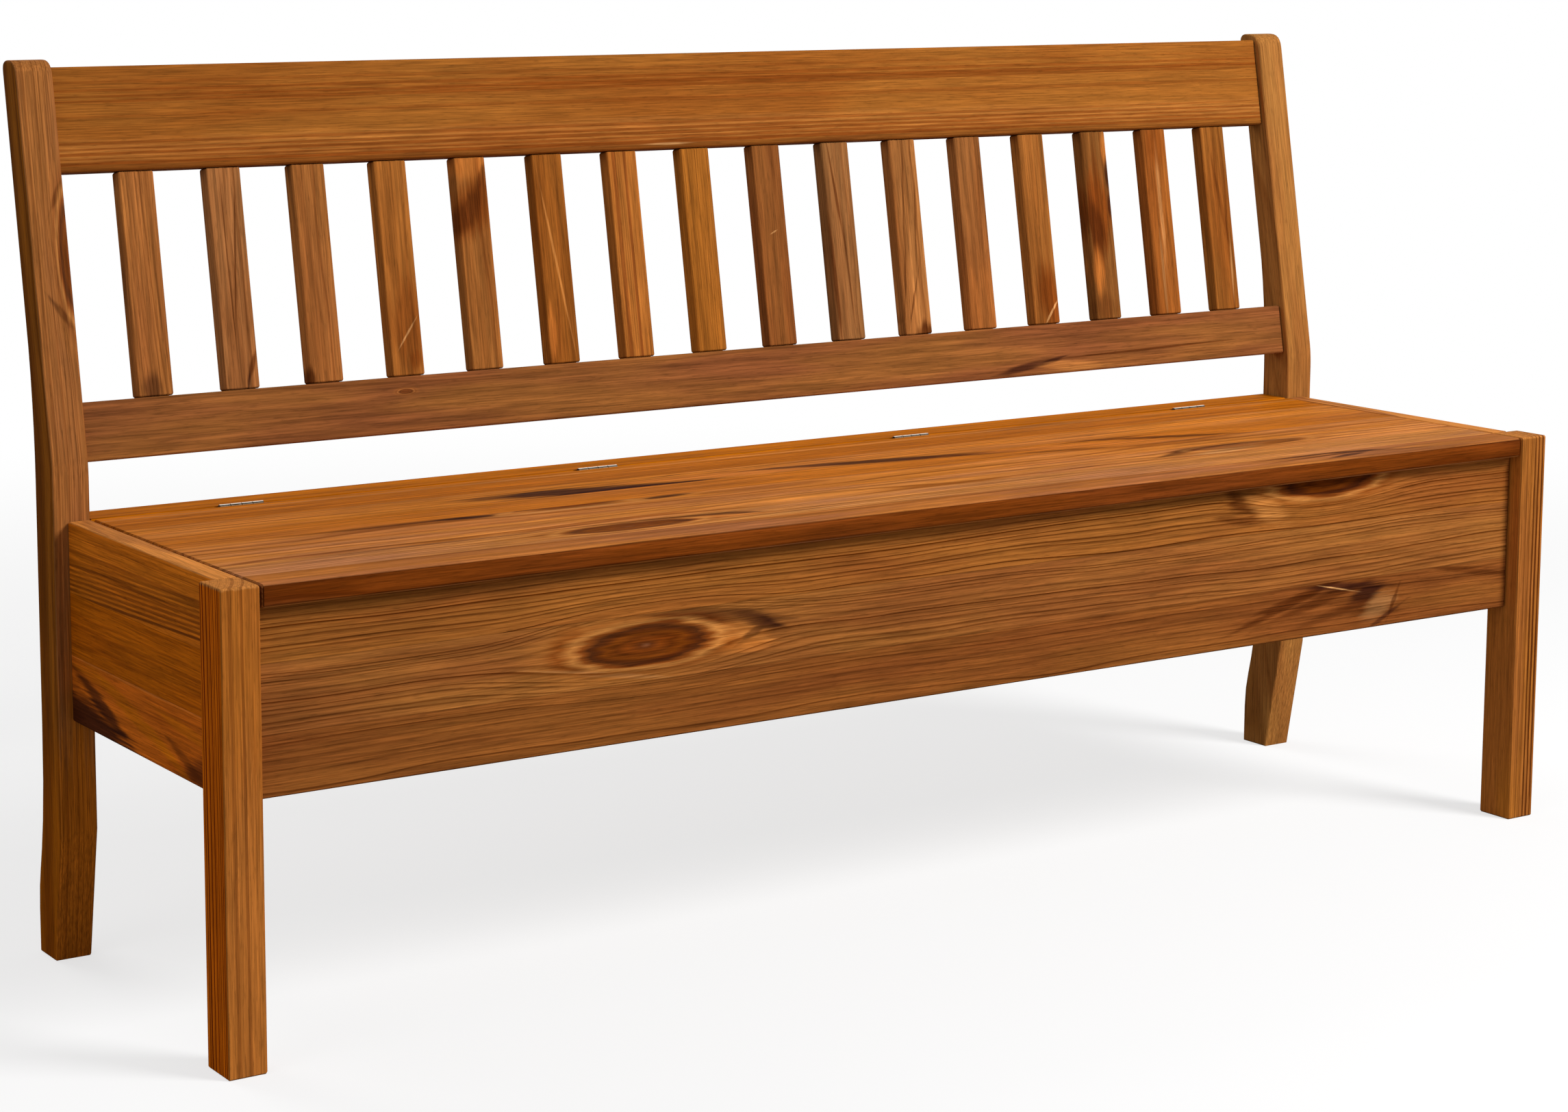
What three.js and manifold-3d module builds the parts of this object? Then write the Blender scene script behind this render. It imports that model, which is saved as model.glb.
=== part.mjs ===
// A pine storage bench: a box seat with a hinged lid, and a raked back of upright slats.
// Sizes are millimetres. X runs along the bench, Y from its front to its back, Z up from the floor.

import * as THREE from 'three';
import { mergeVertices } from 'three/addons/utils/BufferGeometryUtils.js';
import Module from 'manifold-3d';

const wasm = await Module();
wasm.setup();

// The whole bench
const BENCH_WIDTH = 1668;
const SEAT_HEIGHT = 450;
const BACK_RAKE = THREE.MathUtils.degToRad(10.15);

// Clearances, eased edges and facets
const JOINT_GAP = 0.3; // between two pieces that are glued or screwed together
const CUT_OVERRUN = 5; // how far a cut runs out past the face that it starts from
const EASE = 1.5; // chamfer on every sawn edge
const ROUND_SIDES = 16; // sides of a round bar or bore
const CURVE_STEPS = 6; // straight steps in each curve of an outline

// Front legs
const LEG_WIDTH = 39; // along X, the rear posts alike
const LEG_DEPTH = 45;

// Rear posts, front edge
const POST_SETBACK = 385; // front of the legs to front of the posts
const POST_BEND_RISE = 53; // seat to the level above which the front edge leans back
const POST_BEND_BLEND = 16; // height of each half of the soft bend there
const FOOT_KICK = 24; // how far the front edge runs back towards the floor
const FOOT_KICK_HEIGHT = 137;

// Rear posts, rear edge and top
const POST_DEPTH = 45; // at the seat
const POST_TOP_DEPTH = 34; // of the leaning part, measured level
const REAR_BEND_BLEND = 80; // height of each half of the rear edge's curve, upright to rake
const FOOT_REACH = 19; // how far the foot stands out behind the post
const FOOT_UPRIGHT_HEIGHT = 45; // the foot's rear edge is upright up to here
const FOOT_HOLLOW_HEIGHT = 100; // the level about which its curve swings inwards
const FOOT_CURVE_HEIGHT = 240; // the curve is back in line with the post here
const POST_TOP_FRONT_ROUND = 16;
const POST_TOP_REAR_ROUND = 12;

// Box
const BOX_DEPTH = 200; // top of the seat to the boards' lower edges
const BOARD_THICKNESS = 24;
const FRONT_BOARD_RECESS = 17; // behind the front of the legs
const BACK_BOARD_INSET = 4; // in front of the rear of the posts
const BACK_TENON_THICKNESS = 12;
const BACK_TENON_SHOULDER = 20; // above and below the tenon
const BACK_TENON_LENGTH = 15;

// Bottom of the box
const BOTTOM_PANEL_THICKNESS = 12;
const BOTTOM_PANEL_GAP = 1; // between the panel's edges and the boards
const BOTTOM_BATTEN_SIZE = 20;
const BOTTOM_BATTEN_RAISE = 5; // above the boards' lower edges

// Seat: lid, fixed strip and ledger
const SEAT_THICKNESS = 22;
const LID_END_GAP = 2.5; // between the lid and the boards and legs beside it
const LID_FRONT_ROUND = 5;
const SEAM_GAP = 3.6; // between the lid and the fixed strip
const LEDGER_DEPTH = 45;
const LEDGER_HEIGHT = 28;

// Battens under the lid
const LID_BATTENS = [['left', -1], ['middle', 0], ['right', 1]];
const LID_BATTEN_WIDTH = 45;
const LID_BATTEN_THICKNESS = 18;
const LID_BATTEN_END_INSET = 210; // end of the lid to the middle of the outer battens
const LID_BATTEN_FRONT_INSET = 60;
const LID_BATTEN_REAR_GAP = 8; // in front of the ledger

// Back: rails and slats, laid out in the raked plane of the back
const RAIL_THICKNESS = 22;
const RAIL_RECESS = 7; // behind the front edge of the posts, square to the rake
const RAIL_TENON_LENGTH = 18;
const RAIL_TENON_THICKNESS = 10;
const RAIL_TENON_SHOULDER = 8;
const BOTTOM_RAIL_RISE = 56; // top of the seat to the bottom rail's lower front edge
const BOTTOM_RAIL_HEIGHT = 59;
const TOP_RAIL_HEIGHT = 105;
const TOP_RAIL_DROP = 7; // top of the posts to the top rail's upper front edge
const SLAT_COUNT = 16;
const SLAT_LENGTH = 227; // between the rails
const SLAT_WIDTH = 38;
const SLAT_THICKNESS = 17;
const SLAT_END_GAP = 63; // between the posts and the outer slats
const SLAT_TENON_LENGTH = 8;
const SLAT_TENON_THICKNESS = 8;
const SLAT_TENON_SHOULDER = 4;

// Hinges
const HINGE_COUNT = 4;
const HINGE_END_INSET = 160; // end of the lid to the middle of the outer hinges
const HINGE_LENGTH = 49;
const HINGE_AXIS_DROP = 1.2; // axis below the seat surface
const LEAF_DROP = 19; // axis to the leaves' lower edge
const LEAF_THICKNESS = 1.2;
const KNUCKLE_COUNT = 4;
const KNUCKLE_DIAMETER = 6;
const KNUCKLE_GAP = 0.8; // between neighbouring knuckles, and from a knuckle to the other leaf
const PIN_DIAMETER = 3;
const PIN_CLEARANCE = 0.15; // all round the pin
const NOTCH_CLEARANCE = 0.4; // round the knuckles, in the wood
const NOTCH_LEFT_SPARE = 4; // beyond the hinge's left end
const NOTCH_RIGHT_SPARE = 0.6;
const SCREW_HOLE_DIAMETER = 4;
const SCREW_HOLE_SIDES = 12;
const SCREW_HOLE_SHARES = [0.14, 0.5, 0.86]; // along the hinge
const SCREW_HOLE_HEIGHT_SHARES = [0.35, 0.65, 0.35]; // up the leaf, one for each hole

// Dowels of the box
const DOWEL_DIAMETER = 8;
const DOWEL_LENGTH = 36;
const FRONT_DOWEL_SHARES = [0.35, 0.65]; // up the front board
const SIDE_DOWEL_SHARES = [0.15, 0.85]; // up the side boards

// Finishes
const OILED_PINE = { color: '#a65f27', roughness: 0.5, metalness: 0 };
const LID_PINE = { color: '#b0672b', roughness: 0.5, metalness: 0 };
const PLYWOOD = { color: '#c79a63', roughness: 0.7, metalness: 0 };
const BEECH = { color: '#c9a06c', roughness: 0.6, metalness: 0 };
const ZINC_STEEL = { color: '#c9ccd0', roughness: 0.3, metalness: 1 };

// Places worked out from the sizes above
const SIDES = [['left', -1], ['right', 1]];
const halfWidth = BENCH_WIDTH / 2;
const legInner = halfWidth - LEG_WIDTH; // inner faces of legs, posts and side boards
const postRear = POST_SETBACK + POST_DEPTH;
const rakeSlope = Math.tan(BACK_RAKE);
const postBendHeight = SEAT_HEIGHT + POST_BEND_RISE;
const bottomRailLevel = SEAT_HEIGHT + BOTTOM_RAIL_RISE;
const topRailLow = BOTTOM_RAIL_HEIGHT + SLAT_LENGTH; // up the rake, from the bottom rail's foot
const railsRise = Math.cos(BACK_RAKE) * (topRailLow + TOP_RAIL_HEIGHT);
const postHeight = bottomRailLevel + railsRise + TOP_RAIL_DROP;
const boxBottom = SEAT_HEIGHT - BOX_DEPTH;
const frontBoardInner = FRONT_BOARD_RECESS + BOARD_THICKNESS;
const backBoardRear = postRear - BACK_BOARD_INSET;
const backBoardInner = backBoardRear - BOARD_THICKNESS;
const seatUnderside = SEAT_HEIGHT - SEAT_THICKNESS;
const boxTop = seatUnderside - JOINT_GAP; // top of what the seat rests on
const lidHalfLength = legInner - LID_END_GAP;
const lidRear = POST_SETBACK - SEAM_GAP / 2;
const ledgerFront = backBoardInner - LEDGER_DEPTH;
const hingeAxisHeight = SEAT_HEIGHT - HINGE_AXIS_DROP;

/** The front edge of a post's leaning part, at a height. */
function postFrontAt(height) {
  return POST_SETBACK + rakeSlope * (height - postBendHeight);
}

/** A closed geometry as a solid that can be joined and cut. */
function solidFrom(geometry) {
  const bare = geometry.clone();
  bare.deleteAttribute('normal');
  bare.deleteAttribute('uv');
  const merged = mergeVertices(bare);
  return new wasm.Manifold(new wasm.Mesh({
    numProp: 3,
    vertProperties: new Float32Array(merged.attributes.position.array),
    triVerts: new Uint32Array(merged.index.array),
  }));
}

/** A joined or cut solid as a geometry again. */
function geometryFrom(solid) {
  const { vertProperties, triVerts } = solid.getMesh();
  const geometry = new THREE.BufferGeometry();
  geometry.setAttribute('position', new THREE.BufferAttribute(vertProperties, 3));
  geometry.setIndex(new THREE.BufferAttribute(triVerts, 1));
  geometry.computeVertexNormals();
  return geometry;
}

/** A sharp box between two corners. */
function plainBox(low, high) {
  const sizes = high.map((value, i) => value - low[i]);
  const geometry = new THREE.BoxGeometry(...sizes);
  geometry.translate(...low.map((value, i) => value + sizes[i] / 2));
  return solidFrom(geometry);
}

/** A box that is larger than another by a gap on every side, to cut with. */
function clearanceBox(low, high, gap) {
  return plainBox(low.map((value) => value - gap), high.map((value) => value + gap));
}

/** An outline in the YZ plane, extruded along X with its end edges eased. */
function extrudedAlongX(outline, x0, x1) {
  const geometry = new THREE.ExtrudeGeometry(outline, {
    depth: x1 - x0 - 2 * EASE,
    curveSegments: CURVE_STEPS,
    bevelSegments: 1,
    bevelThickness: EASE,
    bevelSize: EASE,
    bevelOffset: -EASE,
  });
  const yAxis = new THREE.Vector3(0, 1, 0);
  const zAxis = new THREE.Vector3(0, 0, 1);
  const xAxis = new THREE.Vector3(1, 0, 0);
  geometry.applyMatrix4(new THREE.Matrix4().makeBasis(yAxis, zAxis, xAxis));
  geometry.translate(x0 + EASE, 0, 0);
  return solidFrom(geometry);
}

/** A board between two corners, with every edge eased. */
function easedBoard(low, high) {
  const [x0, y0, z0] = low;
  const [x1, y1, z1] = high;
  const outline = new THREE.Shape();
  outline.moveTo(y0 + EASE, z0);
  outline.lineTo(y1 - EASE, z0);
  outline.lineTo(y1, z0 + EASE);
  outline.lineTo(y1, z1 - EASE);
  outline.lineTo(y1 - EASE, z1);
  outline.lineTo(y0 + EASE, z1);
  outline.lineTo(y0, z1 - EASE);
  outline.lineTo(y0, z0 + EASE);
  return extrudedAlongX(outline, x0, x1);
}

/** A round bar about a centre, along the X or the Y axis. */
function roundBar(axis, centre, diameter, length, sides = ROUND_SIDES) {
  const geometry = new THREE.CylinderGeometry(diameter / 2, diameter / 2, length, sides);
  if (axis === 'x') {
    geometry.rotateZ(Math.PI / 2);
  }
  geometry.translate(...centre);
  return solidFrom(geometry);
}

/** The X span between two distances from the middle, on the left or the right. */
function spanOnSide(sign, near, far) {
  return sign > 0 ? [near, far] : [-far, -near];
}

/** Hangs a solid in a group as a named mesh, with the mesh's origin in the solid's middle. */
function addPiece(group, name, solid, finish) {
  const geometry = geometryFrom(solid);
  geometry.computeBoundingBox();
  const middle = geometry.boundingBox.getCenter(new THREE.Vector3());
  geometry.translate(-middle.x, -middle.y, -middle.z);
  const mesh = new THREE.Mesh(geometry, new THREE.MeshStandardMaterial(finish));
  mesh.name = name;
  mesh.position.copy(middle);
  group.add(mesh);
}

// The raked plane of the back: its origin is the middle of the bottom rail's lower front edge,
// its Z runs up the rake and its Y square through the rails.
const back = new THREE.Group();
back.name = 'back';
back.position.set(
  0,
  postFrontAt(bottomRailLevel) + RAIL_RECESS / Math.cos(BACK_RAKE),
  bottomRailLevel,
);
back.rotation.x = -BACK_RAKE;
back.updateMatrix();

const railHalfLength = legInner - JOINT_GAP;
const slatPitch = (2 * legInner - 2 * SLAT_END_GAP - SLAT_WIDTH) / (SLAT_COUNT - 1);
const slatFront = (RAIL_THICKNESS - SLAT_THICKNESS) / 2;

/** The corners of the tenoned core that runs through a rail and out at both its ends. */
function railCore(low, height) {
  const reach = legInner + RAIL_TENON_LENGTH;
  const inset = (RAIL_THICKNESS - RAIL_TENON_THICKNESS) / 2;
  return [
    [-reach, inset, low + RAIL_TENON_SHOULDER],
    [reach, RAIL_THICKNESS - inset, low + height - RAIL_TENON_SHOULDER],
  ];
}

/** The corners of the tenoned core that runs through a slat and out at both its ends. */
function slatCore(x) {
  const halfCore = SLAT_WIDTH / 2 - SLAT_TENON_SHOULDER;
  const inset = (RAIL_THICKNESS - SLAT_TENON_THICKNESS) / 2;
  return [
    [x - halfCore, inset, BOTTOM_RAIL_HEIGHT - SLAT_TENON_LENGTH],
    [x + halfCore, RAIL_THICKNESS - inset, topRailLow + SLAT_TENON_LENGTH],
  ];
}

const slatPlaces = Array.from(
  { length: SLAT_COUNT },
  (_, i) => (i - (SLAT_COUNT - 1) / 2) * slatPitch,
);

/** A rail with its two tenons, mortised for the slats. */
function rail(low, height) {
  const board = easedBoard(
    [-railHalfLength, 0, low],
    [railHalfLength, RAIL_THICKNESS, low + height],
  );
  let solid = board.add(plainBox(...railCore(low, height)));
  for (const x of slatPlaces) {
    solid = solid.subtract(clearanceBox(...slatCore(x), JOINT_GAP));
  }
  return solid;
}

/** A slat with a stub tenon at each end. */
function slat(x) {
  const board = easedBoard(
    [x - SLAT_WIDTH / 2, slatFront, BOTTOM_RAIL_HEIGHT + JOINT_GAP],
    [x + SLAT_WIDTH / 2, slatFront + SLAT_THICKNESS, topRailLow - JOINT_GAP],
  );
  return board.add(plainBox(...slatCore(x)));
}

addPiece(back, 'bottom_rail', rail(0, BOTTOM_RAIL_HEIGHT), OILED_PINE);
addPiece(back, 'top_rail', rail(topRailLow, TOP_RAIL_HEIGHT), OILED_PINE);
slatPlaces.forEach((x, i) => {
  addPiece(back, `slat_${String(i + 1).padStart(2, '0')}`, slat(x), OILED_PINE);
});

/** Each dowel of the box on one side: its name, its axis and its middle, on the joint's plane. */
function dowelPlaces(sideName, sign) {
  const frontMiddle = FRONT_BOARD_RECESS + BOARD_THICKNESS / 2;
  const sideMiddle = sign * (legInner + BOARD_THICKNESS / 2);
  const front = FRONT_DOWEL_SHARES.map((share, i) => ({
    name: `dowel_front_board_${sideName}_${i + 1}`,
    axis: 'x',
    middle: [sign * legInner, frontMiddle, boxBottom + share * (boxTop - boxBottom)],
  }));
  const ends = [['leg', LEG_DEPTH], ['post', POST_SETBACK]];
  const side = ends.flatMap(([end, y]) => SIDE_DOWEL_SHARES.map((share, i) => ({
    name: `dowel_side_board_${sideName}_${end}_${i + 1}`,
    axis: 'y',
    middle: [sideMiddle, y, boxBottom + share * (SEAT_HEIGHT - boxBottom)],
  })));
  return [...front, ...side];
}

const dowels = SIDES.flatMap(([sideName, sign]) => dowelPlaces(sideName, sign));

/** A solid with the hole of every dowel that enters it. */
function drilled(solid) {
  return dowels.reduce((rest, { axis, middle }) => rest.subtract(
    roundBar(axis, middle, DOWEL_DIAMETER + 2 * JOINT_GAP, DOWEL_LENGTH + 2 * JOINT_GAP),
  ), solid);
}

const box = new THREE.Group();
box.name = 'box';

/** The corners of the tenoned core that runs through the back board and out at both its ends. */
function backBoardCore() {
  const reach = legInner + BACK_TENON_LENGTH;
  const inset = (BOARD_THICKNESS - BACK_TENON_THICKNESS) / 2;
  return [
    [-reach, backBoardInner + inset, boxBottom + BACK_TENON_SHOULDER],
    [reach, backBoardRear - inset, boxTop - BACK_TENON_SHOULDER],
  ];
}

/** The side view of a rear post, from the foot up its rear edge and down its front edge. */
function postOutline() {
  const footRear = postRear + FOOT_REACH;
  const rearLineAt = (height) => postFrontAt(height) + POST_TOP_DEPTH;
  const rearBendHeight = postBendHeight + (POST_DEPTH - POST_TOP_DEPTH) / rakeSlope;
  const topRearLow = postHeight - POST_TOP_REAR_ROUND;
  const topFrontLow = postHeight - POST_TOP_FRONT_ROUND;
  const topFront = postFrontAt(postHeight);
  const topRear = rearLineAt(postHeight);
  const outline = new THREE.Shape();
  outline.moveTo(POST_SETBACK + FOOT_KICK, 0);
  outline.lineTo(footRear, 0);
  outline.lineTo(footRear, FOOT_UPRIGHT_HEIGHT);
  outline.bezierCurveTo(
    footRear, FOOT_HOLLOW_HEIGHT,
    postRear, FOOT_HOLLOW_HEIGHT,
    postRear, FOOT_CURVE_HEIGHT,
  );
  outline.lineTo(postRear, rearBendHeight - REAR_BEND_BLEND);
  outline.quadraticCurveTo(
    postRear, rearBendHeight,
    rearLineAt(rearBendHeight + REAR_BEND_BLEND), rearBendHeight + REAR_BEND_BLEND,
  );
  outline.lineTo(rearLineAt(topRearLow), topRearLow);
  outline.quadraticCurveTo(topRear, postHeight, topRear - POST_TOP_REAR_ROUND, postHeight);
  outline.lineTo(topFront + POST_TOP_FRONT_ROUND, postHeight);
  outline.quadraticCurveTo(topFront, postHeight, postFrontAt(topFrontLow), topFrontLow);
  outline.lineTo(postFrontAt(postBendHeight + POST_BEND_BLEND), postBendHeight + POST_BEND_BLEND);
  outline.quadraticCurveTo(
    POST_SETBACK, postBendHeight,
    POST_SETBACK, postBendHeight - POST_BEND_BLEND,
  );
  outline.lineTo(POST_SETBACK, FOOT_KICK_HEIGHT);
  return outline;
}

/** The sharp box of a rail's core, in the bench's own frame, to mortise the posts with. */
function railMortise(low, height) {
  const geometry = geometryFrom(clearanceBox(...railCore(low, height), JOINT_GAP));
  geometry.applyMatrix4(back.matrix);
  return solidFrom(geometry);
}

/** A rear post, mortised for both rails and the back board, and drilled for the side board. */
function rearPost(sign) {
  const [x0, x1] = spanOnSide(sign, legInner, halfWidth);
  const post = extrudedAlongX(postOutline(), x0, x1)
    .subtract(railMortise(0, BOTTOM_RAIL_HEIGHT))
    .subtract(railMortise(topRailLow, TOP_RAIL_HEIGHT))
    .subtract(clearanceBox(...backBoardCore(), JOINT_GAP));
  return drilled(post);
}

/** A front leg, drilled for the front board and the side board. */
function frontLeg(sign) {
  const [x0, x1] = spanOnSide(sign, legInner, halfWidth);
  return drilled(easedBoard([x0, 0, 0], [x1, LEG_DEPTH, SEAT_HEIGHT]));
}

/** A side board, between a leg and a post, its inner face in line with theirs. */
function sideBoard(sign) {
  const [x0, x1] = spanOnSide(sign, legInner, legInner + BOARD_THICKNESS);
  return drilled(easedBoard(
    [x0, LEG_DEPTH + JOINT_GAP, boxBottom],
    [x1, POST_SETBACK - JOINT_GAP, SEAT_HEIGHT],
  ));
}

for (const [sideName, sign] of SIDES) {
  addPiece(box, `front_leg_${sideName}`, frontLeg(sign), OILED_PINE);
  addPiece(box, `rear_post_${sideName}`, rearPost(sign), OILED_PINE);
  addPiece(box, `side_board_${sideName}`, sideBoard(sign), OILED_PINE);
}

const boardHalfLength = legInner - JOINT_GAP;

addPiece(box, 'front_board', drilled(easedBoard(
  [-boardHalfLength, FRONT_BOARD_RECESS, boxBottom],
  [boardHalfLength, frontBoardInner, boxTop],
)), OILED_PINE);

addPiece(box, 'back_board', easedBoard(
  [-boardHalfLength, backBoardInner, boxBottom],
  [boardHalfLength, backBoardRear, boxTop],
).add(plainBox(...backBoardCore())), OILED_PINE);

addPiece(box, 'seat_ledger', easedBoard(
  [-boardHalfLength, ledgerFront, boxTop - LEDGER_HEIGHT],
  [boardHalfLength, backBoardInner - JOINT_GAP, boxTop],
), OILED_PINE);

for (const { name, axis, middle } of dowels) {
  addPiece(box, name, roundBar(axis, middle, DOWEL_DIAMETER, DOWEL_LENGTH), BEECH);
}

// The bottom of the box
const battenLow = boxBottom + BOTTOM_BATTEN_RAISE;
const battenTop = battenLow + BOTTOM_BATTEN_SIZE;
const battenFronts = {
  front: frontBoardInner + JOINT_GAP,
  rear: backBoardInner - JOINT_GAP - BOTTOM_BATTEN_SIZE,
};

for (const [place, y] of Object.entries(battenFronts)) {
  addPiece(box, `bottom_batten_${place}`, easedBoard(
    [-boardHalfLength, y, battenLow],
    [boardHalfLength, y + BOTTOM_BATTEN_SIZE, battenTop],
  ), OILED_PINE);
}

addPiece(box, 'bottom_panel', plainBox(
  [BOTTOM_PANEL_GAP - legInner, frontBoardInner + BOTTOM_PANEL_GAP, battenTop + JOINT_GAP],
  [
    legInner - BOTTOM_PANEL_GAP,
    backBoardInner - BOTTOM_PANEL_GAP,
    battenTop + JOINT_GAP + BOTTOM_PANEL_THICKNESS,
  ],
), PLYWOOD);

// Hinges, each laid out about its own axis: the fixed leaf behind it, the moving leaf in front
const hingePitch = 2 * (lidHalfLength - HINGE_END_INSET) / (HINGE_COUNT - 1);
const hingePlaces = Array.from(
  { length: HINGE_COUNT },
  (_, i) => (i - (HINGE_COUNT - 1) / 2) * hingePitch,
);
const knuckleRadius = KNUCKLE_DIAMETER / 2;
const boreDiameter = PIN_DIAMETER + 2 * PIN_CLEARANCE;
const knucklePitch = HINGE_LENGTH / KNUCKLE_COUNT;

/** A solid with a notch cut for the knuckles of each hinge. */
function notched(solid) {
  const reach = knuckleRadius + NOTCH_CLEARANCE;
  return hingePlaces.reduce((rest, x) => rest.subtract(plainBox(
    [x - HINGE_LENGTH / 2 - NOTCH_LEFT_SPARE, POST_SETBACK - reach, hingeAxisHeight - reach],
    [x + HINGE_LENGTH / 2 + NOTCH_RIGHT_SPARE, POST_SETBACK + reach, SEAT_HEIGHT + CUT_OVERRUN],
  )), solid);
}

/** A hinge leaf with its share of the knuckles: sign 1 is the fixed leaf, -1 the moving one. */
function hingeLeaf(sign, firstKnuckle) {
  const outer = SEAM_GAP / 2 - JOINT_GAP;
  const [y0, y1] = spanOnSide(sign, outer - LEAF_THICKNESS, outer);
  const plateTop = -(knuckleRadius + KNUCKLE_GAP);
  const tabTop = -(knuckleRadius + boreDiameter / 2) / 2; // halfway through the knuckle's wall
  let leaf = plainBox([-HINGE_LENGTH / 2, y0, -LEAF_DROP], [HINGE_LENGTH / 2, y1, plateTop]);
  for (let i = firstKnuckle; i < KNUCKLE_COUNT; i += 2) {
    const x0 = -HINGE_LENGTH / 2 + i * knucklePitch + KNUCKLE_GAP / 2;
    const x1 = x0 + knucklePitch - KNUCKLE_GAP;
    const knuckle = roundBar('x', [(x0 + x1) / 2, 0, 0], KNUCKLE_DIAMETER, x1 - x0);
    leaf = leaf.add(plainBox([x0, y0, -LEAF_DROP], [x1, y1, tabTop])).add(knuckle);
  }
  leaf = leaf.subtract(roundBar('x', [0, 0, 0], boreDiameter, HINGE_LENGTH));
  SCREW_HOLE_SHARES.forEach((share, i) => {
    const x = (share - 1 / 2) * HINGE_LENGTH;
    const z = -LEAF_DROP + SCREW_HOLE_HEIGHT_SHARES[i] * (LEAF_DROP + plateTop);
    const hole = roundBar('y', [x, 0, z], SCREW_HOLE_DIAMETER, 2 * SEAM_GAP, SCREW_HOLE_SIDES);
    leaf = leaf.subtract(hole);
  });
  return leaf;
}

const hinges = hingePlaces.map((x, i) => {
  const hinge = new THREE.Group();
  const pin = roundBar('x', [0, 0, 0], PIN_DIAMETER, HINGE_LENGTH);
  hinge.name = `hinge_${i + 1}`;
  hinge.position.set(x, POST_SETBACK, hingeAxisHeight);
  addPiece(hinge, `hinge_${i + 1}_fixed_leaf`, hingeLeaf(1, 1), ZINC_STEEL);
  addPiece(hinge, `hinge_${i + 1}_moving_leaf`, hingeLeaf(-1, 0), ZINC_STEEL);
  addPiece(hinge, `hinge_${i + 1}_pin`, pin, ZINC_STEEL);
  return hinge;
});

addPiece(box, 'rear_seat_strip', notched(easedBoard(
  [-boardHalfLength, POST_SETBACK + SEAM_GAP / 2, seatUnderside],
  [boardHalfLength, postRear, SEAT_HEIGHT],
)), OILED_PINE);

// The lid and its battens
const seatLid = new THREE.Group();
seatLid.name = 'seat_lid';

/** The lid's end view: rounded along its front, eased along its rear. */
function lidOutline() {
  const outline = new THREE.Shape();
  outline.moveTo(LID_FRONT_ROUND, seatUnderside);
  outline.lineTo(lidRear - EASE, seatUnderside);
  outline.lineTo(lidRear, seatUnderside + EASE);
  outline.lineTo(lidRear, SEAT_HEIGHT - EASE);
  outline.lineTo(lidRear - EASE, SEAT_HEIGHT);
  outline.lineTo(LID_FRONT_ROUND, SEAT_HEIGHT);
  outline.quadraticCurveTo(0, SEAT_HEIGHT, 0, SEAT_HEIGHT - LID_FRONT_ROUND);
  outline.lineTo(0, seatUnderside + LID_FRONT_ROUND);
  outline.quadraticCurveTo(0, seatUnderside, LID_FRONT_ROUND, seatUnderside);
  return outline;
}

addPiece(seatLid, 'lid', notched(
  extrudedAlongX(lidOutline(), -lidHalfLength, lidHalfLength),
), LID_PINE);

for (const [place, sign] of LID_BATTENS) {
  const x = sign * (lidHalfLength - LID_BATTEN_END_INSET);
  addPiece(seatLid, `lid_batten_${place}`, easedBoard(
    [x - LID_BATTEN_WIDTH / 2, LID_BATTEN_FRONT_INSET, boxTop - LID_BATTEN_THICKNESS],
    [x + LID_BATTEN_WIDTH / 2, ledgerFront - LID_BATTEN_REAR_GAP, boxTop],
  ), OILED_PINE);
}

// The bench, with its origin on the floor in the middle of its outline
const bench = new THREE.Group();
bench.name = 'corner_storage_bench';
bench.add(box, back, seatLid, ...hinges);
const reach = new THREE.Box3().setFromObject(bench);
bench.position.y = -(reach.min.y + reach.max.y) / 2;

export default bench;
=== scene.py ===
"""The looks of a pine storage bench: oiled boards, steel hinges and screws, studio and camera.

Blender's lengths are metres. Wood is described in millimetres on the face of its own board:
along the grain, across it, and depth out of the face.
"""

import logging
import math
from dataclasses import dataclass, field, replace
from enum import Enum

import bmesh
import bpy
from mathutils import Matrix, Vector


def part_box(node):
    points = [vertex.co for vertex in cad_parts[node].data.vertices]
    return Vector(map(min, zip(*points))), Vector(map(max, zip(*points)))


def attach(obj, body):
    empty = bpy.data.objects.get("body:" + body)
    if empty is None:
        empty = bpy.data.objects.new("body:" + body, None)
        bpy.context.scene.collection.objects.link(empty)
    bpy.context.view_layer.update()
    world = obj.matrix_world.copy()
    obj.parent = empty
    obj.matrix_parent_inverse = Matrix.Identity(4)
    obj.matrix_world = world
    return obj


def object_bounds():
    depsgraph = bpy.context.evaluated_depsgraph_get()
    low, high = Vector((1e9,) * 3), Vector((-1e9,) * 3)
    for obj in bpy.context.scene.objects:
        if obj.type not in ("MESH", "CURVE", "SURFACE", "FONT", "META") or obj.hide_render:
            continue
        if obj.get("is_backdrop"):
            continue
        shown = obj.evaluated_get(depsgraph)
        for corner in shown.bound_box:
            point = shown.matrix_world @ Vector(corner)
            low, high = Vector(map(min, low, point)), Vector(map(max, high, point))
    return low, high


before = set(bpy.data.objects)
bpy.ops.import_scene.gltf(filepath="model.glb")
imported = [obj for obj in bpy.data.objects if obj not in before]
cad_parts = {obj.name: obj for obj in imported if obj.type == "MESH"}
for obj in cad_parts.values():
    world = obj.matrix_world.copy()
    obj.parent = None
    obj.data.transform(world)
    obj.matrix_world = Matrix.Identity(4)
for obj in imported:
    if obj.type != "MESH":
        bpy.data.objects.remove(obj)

LOG = logging.getLogger("bench")
MM = 0.001
MM_PER_METRE = 1000.0

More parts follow.
